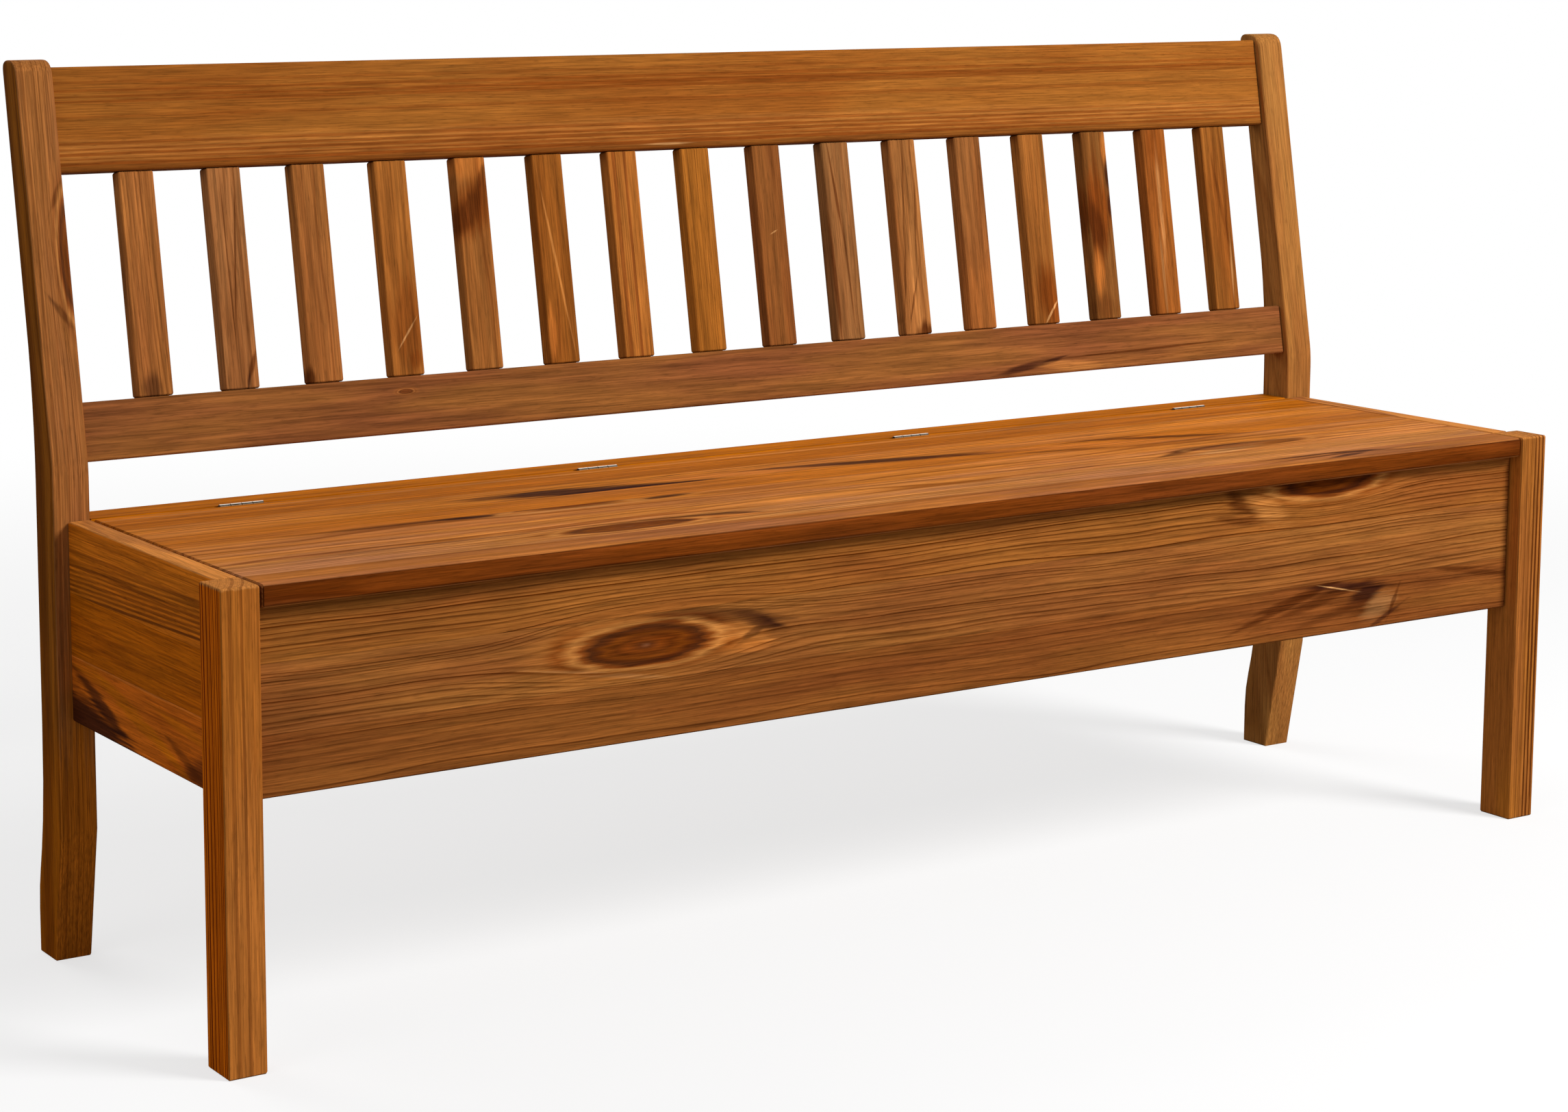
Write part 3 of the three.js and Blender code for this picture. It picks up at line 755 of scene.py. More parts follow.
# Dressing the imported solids


@dataclass
class Softener:
    """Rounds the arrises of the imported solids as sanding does, with modifiers alone."""

    weld: float = 0.01 * MM
    arris: float = 0.55 * MM
    arris_steps: int = 2
    arris_angle: float = math.radians(28)
    flat_angle: float = math.radians(0.6)
    sharp_angle: float = math.radians(35)

    def __post_init__(self) -> None:
        """Builds the two node groups that the solids share."""
        self.wood_group = self.welded("joined_wood", math.pi)
        self.metal_group = self.welded("joined_metal", self.sharp_angle)

    def welded(self, name: str, sharp_angle: float) -> bpy.types.NodeTree:
        """Builds the geometry nodes that join a solid's facets and shade it smooth.

        Args:
            name: the name of the node group.
            sharp_angle: edges that turn more than this stay sharp.

        Returns:
            The node group.
        """
        tree = bpy.data.node_groups.new(name, "GeometryNodeTree")
        for way in ("INPUT", "OUTPUT"):
            tree.interface.new_socket("Geometry", in_out=way, socket_type="NodeSocketGeometry")
        nodes = Nodes(tree)
        shape = nodes.add("NodeGroupInput")
        shape = nodes.add("GeometryNodeMergeByDistance", {"Geometry": shape, "Distance": self.weld})
        links = {"Geometry": shape, "Name": "custom_normal"}
        shape = nodes.add("GeometryNodeRemoveAttribute", links)
        shape = nodes.add("GeometryNodeSetShadeSmooth", (shape,), domain="FACE")
        turn = nodes.add("GeometryNodeInputMeshEdgeAngle")
        soft = nodes.add(MATH, (turn, sharp_angle), operation="LESS_THAN")
        links = {"Geometry": shape, "Shade Smooth": soft}
        shape = nodes.add("GeometryNodeSetShadeSmooth", links, domain="EDGE")
        nodes.add("NodeGroupOutput", (shape,))
        return tree

    def wood(self, solid: bpy.types.Object) -> None:
        """Gives a wooden piece rounded arrises.

        Args:
            solid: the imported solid.
        """
        joined = solid.modifiers.new("joined", "NODES")
        joined.node_group = self.wood_group
        flat = solid.modifiers.new("flat", "DECIMATE")
        flat.decimate_type = "DISSOLVE"
        flat.angle_limit = self.flat_angle
        rounded = solid.modifiers.new("arris", "BEVEL")
        rounded.width = self.arris
        rounded.segments = self.arris_steps
        rounded.limit_method = "ANGLE"
        rounded.angle_limit = self.arris_angle
        shading = solid.modifiers.new("shading", "WEIGHTED_NORMAL")
        shading.keep_sharp = False

    def round_piece(self, solid: bpy.types.Object) -> None:
        """Gives a turned or rolled piece smooth rounds and sharp edges."""
        joined = solid.modifiers.new("joined", "NODES")
        joined.node_group = self.metal_group


def dress(name: str, material: bpy.types.Material) -> bpy.types.Object:
    """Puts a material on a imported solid.

    Args:
        name: the CAD node.
        material: its finish.

    Returns:
        The solid's object.
    """
    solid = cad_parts[name]
    for slot in solid.material_slots:
        slot.material = material
    return solid


@dataclass
class Assembly:
    """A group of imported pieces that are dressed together."""

    softener: Softener
    front: float = field(init=False)  # the plane of the legs' front, from which depths are read
    seat: float = field(init=False)  # the level of the seat

    OUTSIDE = -60.0  # a stave that starts here starts outside the piece

    def __post_init__(self) -> None:
        """Reads the planes that wood is placed from."""
        low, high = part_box("front_leg_left")
        self.front = low.y
        self.seat = high.z

    def board(self, name: str, wood: OiledPine) -> None:
        """Dresses one board, by its CAD node's name, in its wood."""
        self.softener.wood(dress(name, wood.material(f"{name}_pine")))
        LOG.info("dressed %s", name)


# The bench's parts


@dataclass
class Uprights(Assembly):
    """The front legs and the bent rear posts, sawn from straight-grained planks."""

    post_bend: float = 503.0  # millimetres from the floor to where the posts begin to lean
    front_arris: float = -19.2  # between the left side and the front, from the middle line

    # The dark growth lines on the right leg's front: one, and where across and how dark each is
    LEG_LINE = Mark(210, 0, 900, 3.2, UMBER, 1.0, 0, 1)
    LEG_LINES = ((-9, 0.4), (-3, 0.55), (3, 0.9), (8.6, 1.0), (14.4, 1.0))

    def upright_face(self, name: str) -> Face:
        """Gives the front face of a leg or post.

        Args:
            name: the CAD node.

        Returns:
            The face, read up from the floor and from the piece's middle line.
        """
        low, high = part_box(name)
        bend = self.post_bend if name.startswith("rear_post") else None
        return Face(Vector(((low.x + high.x) / 2, self.front, 0.0)), UP, RIGHT, bend)

    def plank(self, name: str, pith: tuple[float, float], painted_side_light_and_tint: tuple[tuple, tuple], **wood: object) -> None:
        """Dresses a leg or post that is sawn from one plank.

        Args:
            name: the CAD node.
            pith: where the middle of its tree lay, across and deep.
            painted_side_light_and_tint: what is done to the colours of its left side, which paints the light
                and shade that side face takes, and of the rest.
            wood: the rest of the wood's settings.
        """
        # The left side face gets a tint of its own, apart from the front: painted light and shade for how
        # that side is lit
        starts = (self.OUTSIDE, self.front_arris)
        staves = tuple(Stave(start, *pith, tint) for start, tint in zip(starts, painted_side_light_and_tint))
        self.board(name, OiledPine(self.upright_face(name), staves, end_shade=1.0, **wood))

    def build(self) -> None:
        """Dresses the legs and posts."""
        self.plank(
            "front_leg_left", (-128, 90), ((1.6, 1.11, 0.19), (0.91, 0.91, 0.93)),
            early="#be7129", late="#5e2405", blush="#b86b29", seed=1.7,
            ring=2.6, contrast=0.5, wave=1.2, slope=0.006, streaks=0.08,
            bands=(Band(-23, -19, 1.7),),
            marks=(
                # A pale band over the leg's top end: painted light, where light falls on the top from above
                Mark(450, 0, 5, 300, GOLD, 0.75),
                Mark(390, 0, 460, 240, UMBER, 0.14, 0, 1),
                Mark(70, 0, 460, 240, GOLD, 0.2, 0, 1),
            ),
        )
        lines = [
            replace(self.LEG_LINE, across=across, strength=strength)
            for across, strength in self.LEG_LINES
        ]
        self.plank(
            "front_leg_right", (-90, -4), ((1.59, 1.65, 1.47), (0.89, 0.97, 0.99)),
            early="#b46a27", late="#6d2f08", blush="#a9612a", seed=4.1,
            ring=4.6, contrast=0.6, wave=1.6, streaks=0.08,
            bands=(Band(-23, -19, -0.4),),
            # The first mark pales the leg's top end: painted light from above
            marks=(Mark(450, 0, 5, 300, GOLD, 0.5), *lines),
        )
        self.plank(
            "rear_post_left", (-300, 440), ((1.0, 0.85, 0.3), (1.0, 1.0, 1.0)),
            early="#a16532", late="#693612", blush="#9b6136", seed=7.3,
            ring=3.4, contrast=0.8, wave=3.0, streaks=0.12,
            knots=(Knot(707, 22, 120, 26, 0.8, reach=2.4),),
            marks=(
                # Deep orange over the lower front, behind the side board: painted shade, the saturated colour
                # that part takes in shade
                Mark(60, 0, 520, 90, AMBER, 0.75),
                Mark(650, 8, 50, 8, RESIN, 0.7, -36),
                Mark(768, 12, 50, 7, RESIN, 0.7, 27),
            ),
        )
        self.plank(
            "rear_post_right", (-300, 440), ((1.0, 1.0, 1.0),),
            early="#a36d35", late="#743f14", blush="#9e6430", seed=2.9,
            ring=3.4, contrast=0.5, wave=2.4, slope=0.03, streaks=0.12,
        )


@dataclass
class Box(Assembly):
    """The four boards of the box, each glued from staves."""

    FRONT_STAVES = (
        Stave(240, 215, -60, (0.74, 0.71, 0.73)),
        Stave(308.5, 255, -58, (0.92, 0.98, 1.08)),
        Stave(374, 320, -50, (0.94, 0.96, 0.91)),
    )
    FRONT_MARKS = (
        # Round the big knot on the left
        Mark(-285, 338, 120, 24, FLAME, 0.5, -10, 1), Mark(-290, 349, 120, 11, GOLD, 0.65, -17, 1),
        Mark(-472, 350, 60, 36, RUSSET, 0.6, 60, 1), Mark(-452, 329, 90, 8, UMBER, 0.6, -4, 1),
        Mark(-430, 321, 160, 6, PALE, 0.4, -9, 1), Mark(-300, 363, 200, 17, RESIN, 0.93, -8, 1),
        Mark(-250, 353, 80, 15, RESIN, 0.9, -18, 1), Mark(-254, 343, 46, 9, RESIN, 0.85, 28, 1),
        Mark(-620, 364, 230, 8, UMBER, 0.35, 0, 1),
        # Beside the knot at the upper right
        Mark(382, 419, 84, 36, UMBER, 0.92, -38, 2), Mark(372, 392, 70, 10, UMBER, 0.5, -12, 2),
        Mark(420, 402, 76, 28, GOLD, 0.75, -25, 2),
        # The swirl at the lower right, and its tail
        Mark(450, 288, 200, 9, UMBER, 0.8, 15, 0), Mark(470, 297, 160, 9, UMBER, 0.8, 12, 0),
        Mark(505, 290, 180, 12, UMBER, 0.75, 12, 0), Mark(540, 301, 140, 10, RESIN, 0.8, -4, 0),
        Mark(571, 289, 62, 24, RESIN, 0.88, 20, 0), Mark(575, 272, 120, 26, UMBER, 0.55, -12, 0),
        Mark(520, 272, 120, 12, UMBER, 0.45, 12, 0), Mark(592, 274, 62, 28, PALE, 0.3, 20, 0),
        Mark(615, 277, 46, 6, UMBER, 0.7, 65, 0), Mark(602, 261, 70, 6, RESIN, 0.6, 25, 0),
        Mark(530, 300, 62, 2.2, PALE, 0.85, -12, 0), Mark(745, 297, 160, 8, UMBER, 0.6, -9, 0),
        Mark(720, 304, 130, 5, UMBER, 0.6, -5, 0),
    )
    SIDE_STAVES = (
        Stave(240, 262, 74, (1.15, 1.09, 1.57)),
        Stave(317.5, 345, 96, (0.95, 0.96, 0.57)),
        Stave(380, 640, 14, (1.14, 1.26, 1.51)),
    )
    # The left board's dark growth lines: the lowest, the step up to the next, how dark each is
    SIDE_LINE = Mark(200, 385, 900, 3.2, UMBER, 0.8, -2, 2)
    SIDE_LINE_STEP = 4.9
    SIDE_LINES = (0.8, 0.6, 0.55, 0.6, 0.5, 0.5, 0.55, 0.4)
    SIDE_MARKS = (
        Mark(345, 258, 300, 50, RESIN, 0.93, 6, 0), Mark(310, 281, 170, 18, RESIN, 0.8, 20, 0),
        Mark(70, 262, 120, 34, RESIN, 0.7, -8, 0), Mark(118, 270, 90, 12, UMBER, 0.6, 18, 0),
        Mark(262, 297, 190, 14, AMBER, 0.6, 13, 0), Mark(210, 279, 180, 12, AMBER, 0.6, 12, 0),
        Mark(150, 266, 150, 12, AMBER, 0.55, 20, 0), Mark(330, 306, 120, 12, AMBER, 0.5, 4, 0),
        Mark(120, 298, 150, 12, AMBER, 0.55, 6, 0), Mark(215, 317.5, 700, 5, FLAME, 0.45, 0, 0),
    )
    # A pale golden line along the board's top edge: painted light, for the light that falls on the top from
    # above
    PAINTED_LIGHT_TOP_EDGE = Mark(215, 450, 3000, 2, GOLD, 0.8)
    BACK_STAVES = (
        Stave(240, 270, 70, (0.97, 0.97, 0.97)),
        Stave(296, 420, 30, (1.03, 1.03, 1.03)),
        Stave(352, 380, 84, (0.98, 0.98, 0.98)),
        Stave(404, 300, 50),
    )

    def side_board(self, side: str, corner: int, depth_sign: int) -> None:
        """Dresses a side board.

        Args:
            side: "left" or "right".
            corner: which corner of its box is on its outer face.
            depth_sign: 1 where depth out of the face runs to the left, or -1.
        """
        name = f"side_board_{side}"
        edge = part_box(name)[corner]
        line = self.SIDE_LINE
        lines = [
            replace(line, across=line.across + self.SIDE_LINE_STEP * row, strength=strength)
            for row, strength in enumerate(self.SIDE_LINES)
        ]
        wood = OiledPine(
            Face(Vector((edge.x, self.front, 0.0)), BACKWARD, UP),
            tuple(replace(stave, pith_depth=stave.pith_depth * depth_sign) for stave in self.SIDE_STAVES),
            early="#ba6112", late="#672908", blush="#b55b0f", seed=5.1,
            ring=3.7, contrast=0.4, wave=4.0, wave_run=260,
            bands=(Band(424, 446, 0.25),),
            marks=(*lines, *self.SIDE_MARKS, self.PAINTED_LIGHT_TOP_EDGE),
        )
        if side == "right":
            wood = replace(
                wood, contrast=0.7, seed=9.4,
                bands=(Band(318, 350, 0.3),),
                knots=(Knot(265, 348, 62, 24),),
                marks=(Mark(320, 352, 60, 8, RESIN, 0.6, -12, 1), self.PAINTED_LIGHT_TOP_EDGE),
            )
        self.board(name, wood)

    def build(self) -> None:
        """Dresses the front, side and back boards."""
        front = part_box("front_board")[0]
        wood = OiledPine(
            Face(Vector((0.0, front.y, 0.0)), RIGHT, UP),
            self.FRONT_STAVES,
            early="#a5642b", late="#5a2a08", blush="#975626", seed=3.3,
            ring=4.6, contrast=1.2, wave=9.0, wave_run=420, streaks=0.2,
            bands=(Band(384, 420, 0.4), Band(250, 303, -0.35), Band(315, 332, 0.25)),
            knots=(Knot(-380, 344, 150, 40, 0.92, reach=3.4), Knot(508, 428, 150, 44, 0.95, reach=2.6)),
            marks=self.FRONT_MARKS,
        )
        self.board("front_board", wood)
        for side, corner, depth_sign in zip(SIDES, (0, 1), (1, -1)):
            self.side_board(side, corner, depth_sign)
        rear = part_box("back_board")[1]
        wood = OiledPine(
            Face(Vector((0.0, rear.y, 0.0)), RIGHT, UP),
            self.BACK_STAVES,
            ring=4.0, contrast=0.65, wave=8.0, wave_run=420, seed=6.2,
            knots=(Knot(330, 326, 92, 30), Knot(-515, 378, 64, 22)),
            marks=(Mark(415, 332, 90, 9, RESIN, 0.6, 8, 1), Mark(-440, 372, 110, 8, FLAME, 0.5, 0, 2)),
        )
        self.board("back_board", wood)


@dataclass
class Bottom(Assembly):
    """The bottom of the box: a plywood panel on two planed battens."""

    def build(self) -> None:
        """Dresses the panel and its battens."""
        dress("bottom_panel", PoplarPlywood().material("poplar_plywood"))
        for place, seed in (("front", 1.1), ("rear", 8.7)):
            name = f"bottom_batten_{place}"
            face = Face(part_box(name)[0].copy(), RIGHT, UP)
            colours = {"early": "#c08b52", "late": "#8c5a2a", "blush": "#b98450"}
            self.board(name, OiledPine(face, (Stave(self.OUTSIDE, 70, 40),), seed=seed, **colours))


@dataclass
class Seat(Assembly):
    """The lid with its battens, the fixed strip behind it and the ledger under the strip."""

    # Besides each stave's own tone, the tints paint a reflection: the front staves are paler and bluer, like
    # the low sheen of the bright surroundings on the seat, and the rear staves less so
    LID_STAVES = (
        Stave(-10, -120, 4, (0.4, 0.29, 0.25)),  # the front edge, which took up more oil
        Stave(0.9, 26, -70, (0.92, 1.0, 1.63)),
        Stave(42, 30, -48, (1.13, 1.4, 2.65)),
        Stave(95, 110, -58, (1.31, 1.51, 2.26)),
        Stave(148, 200, -66, (1.21, 1.31, 1.56)),
        Stave(202, 420, -20, (1.1, 1.07, 0.8)),
        Stave(256, 262, -54, (1.37, 1.46, 1.37)),
        Stave(312, 560, 0, (1.05, 0.96, 0.42)),
    )
    LID_MARKS = (
        Mark(0, 366, 3600, 5, PALE, 0.35, 0, 7), Mark(-460, 312, 500, 4, PALE, 0.35, 0, 7),
        Mark(640, 313, 420, 5, PALE, 0.35, 0, 7), Mark(-110, 276, 300, 30, FLAME, 0.6, -4, 6),
        Mark(-310, 270, 290, 42, RESIN, 0.93, -5, 6), Mark(-240, 259, 270, 18, RESIN, 0.95, 0, 6),
        Mark(-170, 302, 60, 5, UMBER, 0.6, 6, 6), Mark(80, 261, 400, 23, RESIN, 0.88, -8.4),
        Mark(225, 240, 260, 16, UMBER, 0.8, -8), Mark(320, 229, 300, 28, FLAME, 0.55, -8, 5),
        Mark(300, 209, 160, 10, UMBER, 0.6, -9, 5), Mark(385, 249, 150, 10, RESIN, 0.7, 0, 5),
        Mark(450, 227, 240, 18, UMBER, 0.85, -15), Mark(-570, 197, 230, 8, UMBER, 0.6, 0, 4),
        Mark(-478, 195, 90, 15, RESIN, 0.9, -5, 4), Mark(-245, 195, 76, 14, RESIN, 0.85, 4, 4),
        Mark(-356, 201, 165, 27, UMBER, 0.85, 0, 4), Mark(-345, 200, 100, 12, RUSSET, 0.8, 0, 4),
        Mark(-434, 197, 40, 13, GOLD, 0.7, 30, 4), Mark(-285, 197, 40, 13, GOLD, 0.7, -30, 4),
        Mark(-370, 184, 260, 8, PALE, 0.4, 0, 4), Mark(-255, 70, 130, 14, FLAME, 0.5, -9, 2),
        Mark(-312, 87, 180, 11, RESIN, 0.92, -3, 2), Mark(-243, 78, 90, 13, RESIN, 0.9, -13, 2),
        Mark(-580, 91, 330, 6, UMBER, 0.6, 0, 2), Mark(-445, 59, 100, 9, GOLD, 0.6, -14, 2),
        Mark(-130, 52, 420, 8, PALE, 0.2, 2, 2), Mark(445, 114, 120, 22, PALE, 0.6, 8, 3),
        Mark(402, 134, 110, 19, RESIN, 0.88, 20, 3), Mark(455, 143, 130, 8, RESIN, 0.7, 3, 3),
        Mark(480, 36, 160, 8, RESIN, 0.8, 2, 1), Mark(562, 31, 110, 12, RESIN, 0.85, -10, 1),
        Mark(500, 25, 180, 7, UMBER, 0.75, 4, 1), Mark(540, 18, 90, 12, RESIN, 0.8, 12, 1),
        Mark(620, 16, 110, 8, UMBER, 0.5, -6, 1),
    )
    BATTENS = ((0, 5.5), (12, 6.5), (24, 7.5))  # each batten's pith across, and its seed

    def build(self) -> None:
        """Dresses the seat's boards and battens."""
        top = Face(Vector((0.0, self.front, self.seat)), RIGHT, BACKWARD)
        wood = OiledPine(
            top,
            self.LID_STAVES,
            early="#b66a24", late="#753809", blush="#aa642d", seed=2.2,
            ring=5.2, contrast=0.8, wave=8.0, wave_run=460, streaks=0.26,
            bands=(Band(314, 345, 0.15), Band(98, 116, 0.2)),
            knots=(Knot(-366, 70, 152, 32, 0.86), Knot(500, 133, 165, 29, 0.6)),
            marks=self.LID_MARKS,
        )
        self.board("lid", wood)
        wood = OiledPine(
            top,
            (Stave(380, 600, -30),),
            early="#b96607", late="#7b3907", blush="#ad5f08", seed=12.6,
            ring=3.4, contrast=0.5, wave=5.0, wave_run=500,
        )
        self.board("rear_seat_strip", wood)
        wood = OiledPine(
            Face(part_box("seat_ledger")[0].copy(), RIGHT, UP),
            (Stave(self.OUTSIDE, 60, 70),),
            early="#bd844a", late="#84501f", blush="#b37a48", seed=3.9,
        )
        self.board("seat_ledger", wood)
        for place, (pith, seed) in zip(THIRDS, self.BATTENS):
            name = f"lid_batten_{place}"
            low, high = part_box(name)
            wood = OiledPine(
                Face(Vector(((low.x + high.x) / 2, self.front, low.z)), BACKWARD, -RIGHT),
                (Stave(self.OUTSIDE, pith, 48),),
                early="#b9803f", late="#7d4718", blush="#ad7440", seed=seed,
                ring=4.0, wave=4.0,
            )
            self.board(name, wood)


@dataclass
class Back(Assembly):
    """The raked back: two rails and sixteen slats, all cut from different planks."""

    rail_thickness: float = 22 * MM

    TOP_LINES = (  # each line's shift along the rail, place across it, width and strength
        (0, 294, 4.2, 0.8), (250, 299, 3.6, 0.7), (-150, 303.5, 4.0, 0.75), (100, 308.5, 3.6, 0.7),
        (-300, 314, 4.0, 0.6), (200, 341, 5.0, 0.4), (-200, 356, 4.0, 0.6), (250, 361, 5.4, 0.75),
        (0, 367, 4.2, 0.6), (-250, 375, 4.0, 0.35),
    )
    TOP_LINE_RUN = 2900
    TOP_LINE_TILT = 0.05
    STRAIGHT = (Stave(-40, -230, 6),)
    LEANING = (Stave(-40, 34, 22),)
    # How each slat differs, from left to right. Marks are read from the bottom rail's lower edge
    # up and from the slat's middle line.
    SLATS = (
        dict(staves=LEANING, slope=0.045, contrast=0.55, marks=(Mark(66, -4, 44, 24, RESIN, 0.65),)),
        dict(early="#a0683a", blush="#975f33", contrast=0.55, marks=(
            Mark(190, 4, 200, 2, UMBER, 0.75, 5), Mark(170, -4, 260, 1.8, UMBER, 0.7, -0.6),
            Mark(84, 13, 40, 7, UMBER, 0.8, 20), Mark(66, 7, 24, 3, RESIN, 0.7, 10),
        )),
        dict(early="#a86a33", blush="#a06231", contrast=0.55, slope=0.02, marks=(
            # The wide umber mark darkens the slat's upper part under the top rail: painted shade
            Mark(63, -17, 30, 10, UMBER, 0.85), Mark(276, 0, 150, 90, UMBER, 0.14),
        )),
        dict(early="#a2632a", blush="#995923", contrast=0.4, marks=(
            Mark(112, 6, 110, 50, RUSSET, 0.6), Mark(104, 3, 50, 2.2, PALE, 0.7, 37),
            Mark(75, 10, 24, 14, RUSSET, 0.6, 10),
        )),
        dict(early="#985f2c", blush="#905626", contrast=0.5, marks=(
            Mark(276, 2, 40, 60, FLAME, 0.4), Mark(234, 2, 104, 48, RUSSET, 0.8, 38),
            Mark(226, -8, 76, 26, UMBER, 0.75, 38), Mark(264, 13, 44, 10, UMBER, 0.6, 24),
        )),
        dict(early="#8e531e", blush="#834817", contrast=0.35, marks=(
            Mark(168, 0, 220, 2.8, GOLD, 0.6, -8), Mark(92, -13, 70, 10, FLAME, 0.55, 2),
            Mark(96, -4, 80, 3, UMBER, 0.5, 3),
        )),
        dict(
            staves=STRAIGHT, early="#ab692c", late="#6c3010", blush="#a76327",
            ring=3.8, contrast=0.72, wave=0.6,
        ),
        dict(staves=STRAIGHT, early="#a06122", blush="#9e6023", ring=3.3, contrast=0.55, wave=0.8),
        dict(early="#865126", blush="#7e4721", contrast=0.25, marks=(
            Mark(187, 1, 12, 1.6, PALE, 0.7, 65),
        )),
        dict(early="#96673a", blush="#8e5d33", contrast=0.35, marks=(
            Mark(228, -5, 150, 3.4, UMBER, 0.75, -6), Mark(140, 3, 150, 3, UMBER, 0.65, -2),
            Mark(130, -16, 180, 5, UMBER, 0.75, -1), Mark(180, 16, 220, 8, UMBER, 0.3),
        )),
        dict(early="#ab6f3a", blush="#a16432", contrast=0.55, marks=(
            # The wide umber mark darkens the slat's upper part under the top rail: painted shade
            Mark(276, 0, 170, 90, UMBER, 0.2), Mark(222, -5, 170, 3, UMBER, 0.6, 5),
            Mark(125, -13, 110, 3, UMBER, 0.65, 7), Mark(180, 8, 140, 2.6, UMBER, 0.55, 5),
            Mark(98, -4, 80, 3, UMBER, 0.65, 17), Mark(60, 10, 30, 26, UMBER, 0.9),
        )),
        dict(early="#996132", blush="#8f562a", contrast=0.3, marks=(
            # The wide umber mark darkens the slat's upper part under the top rail: painted shade; the wide
            # flame mark makes its lower part lighter
            Mark(276, 0, 170, 90, UMBER, 0.2), Mark(70, 0, 150, 90, FLAME, 0.15),
        )),
        dict(early="#995e29", blush="#945824", contrast=0.45, marks=(
            Mark(92, 8, 90, 40, RUSSET, 0.85, -12), Mark(74, 8, 50, 3, PALE, 0.85, 38),
        )),
        dict(early="#885628", blush="#7a4b21", contrast=0.55, marks=(
            Mark(118, -10, 70, 18, FLAME, 0.45), Mark(262, 16, 54, 10, FLAME, 0.55),
            Mark(190, -2, 130, 40, RUSSET, 0.85), Mark(172, -8, 80, 26, UMBER, 0.8, -14),
            Mark(232, 17, 50, 9, RESIN, 0.85), Mark(196, 17, 34, 8, RESIN, 0.75),
            Mark(74, -4, 40, 34, UMBER, 0.4),
        )),
        dict(early="#965622", blush="#8e4e1e", contrast=0.35, marks=(
            Mark(190, 1, 180, 7, PALE, 0.35), Mark(110, -4, 120, 5, PALE, 0.35),
            Mark(266, 2, 56, 36, RUSSET, 0.5),
        )),
        dict(early="#955d26", blush="#8c511f", contrast=0.55, marks=(
            Mark(178, 0, 150, 90, RUSSET, 0.3), Mark(190, 3, 150, 6, UMBER, 0.45, -9),
            Mark(108, 11, 80, 4, PALE, 0.5, 2),
        )),
    )
    SLAT_SEED = 1.9

    def foot(self) -> Vector:
        """Gives the lower front edge of the bottom rail, from which the rake is measured."""
        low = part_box("bottom_rail")[0]
        return Vector((0.0, low.y, low.z + self.rail_thickness * math.sin(BACK_RAKE)))

    def rails(self) -> None:
        """Dresses the two rails."""
        face = Face(self.foot(), RIGHT, UP_THE_RAKE)
        wood = OiledPine(
            face,
            (Stave(-30, 32, -110),),
            early="#8c582a", late="#5c2f10", blush="#804b29", seed=8.8,
            ring=4.2, contrast=0.6, wave=5.0, wave_run=420, streaks=0.26,
            knots=(Knot(-435, 43, 17, 5, 0.55),),
            marks=(
                Mark(385, 10, 90, 9, RESIN, 0.8, 8), Mark(425, 15, 60, 6, RESIN, 0.8, 12),
                Mark(455, 8, 110, 12, GOLD, 0.45, -3), Mark(570, 19, 330, 3, UMBER, 0.75, 1),
            ),
        )
        self.board("bottom_rail", wood)
        lines = [
            Mark(shift, across, self.TOP_LINE_RUN, width, RUSSET, strength, self.TOP_LINE_TILT)
            for shift, across, width, strength in self.TOP_LINES
        ]
        wood = OiledPine(
            face,
            (Stave(250, 130, -40),),
            early="#995d23", late="#5d2908", blush="#91531d", seed=1.3,
            ring=3.7, contrast=0.12, wave=2.6, wave_run=700, streaks=0.12,
            marks=(
                Mark(0, 305, 3600, 30, GOLD, 0.25), Mark(0, 284, 3600, 24, UMBER, 0.5),
                Mark(120, 287, 200, 8, UMBER, 0.5, 4), Mark(-80, 291, 60, 3, PALE, 0.7),
                *lines,
            ),
        )
        self.board("top_rail", wood)

    def build(self) -> None:
        """Dresses the rails and slats."""
        self.rails()
        plain = OiledPine(
            Face(self.foot(), UP_THE_RAKE, RIGHT),
            (Stave(-40, -6, 60),),
            early="#a86a33", late="#65320f", blush="#9e6030",
            ring=4.0, contrast=0.6, wave=3.0, wave_run=170, streaks=0.26,
        )
        for number, changes in enumerate(self.SLATS):
            name = f"slat_{number + 1:02d}"
            low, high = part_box(name)
            origin = self.foot()
            origin.x = (low.x + high.x) / 2
            face = replace(plain.face, origin=origin)
            self.board(name, replace(plain, face=face, seed=self.SLAT_SEED * number, **changes))


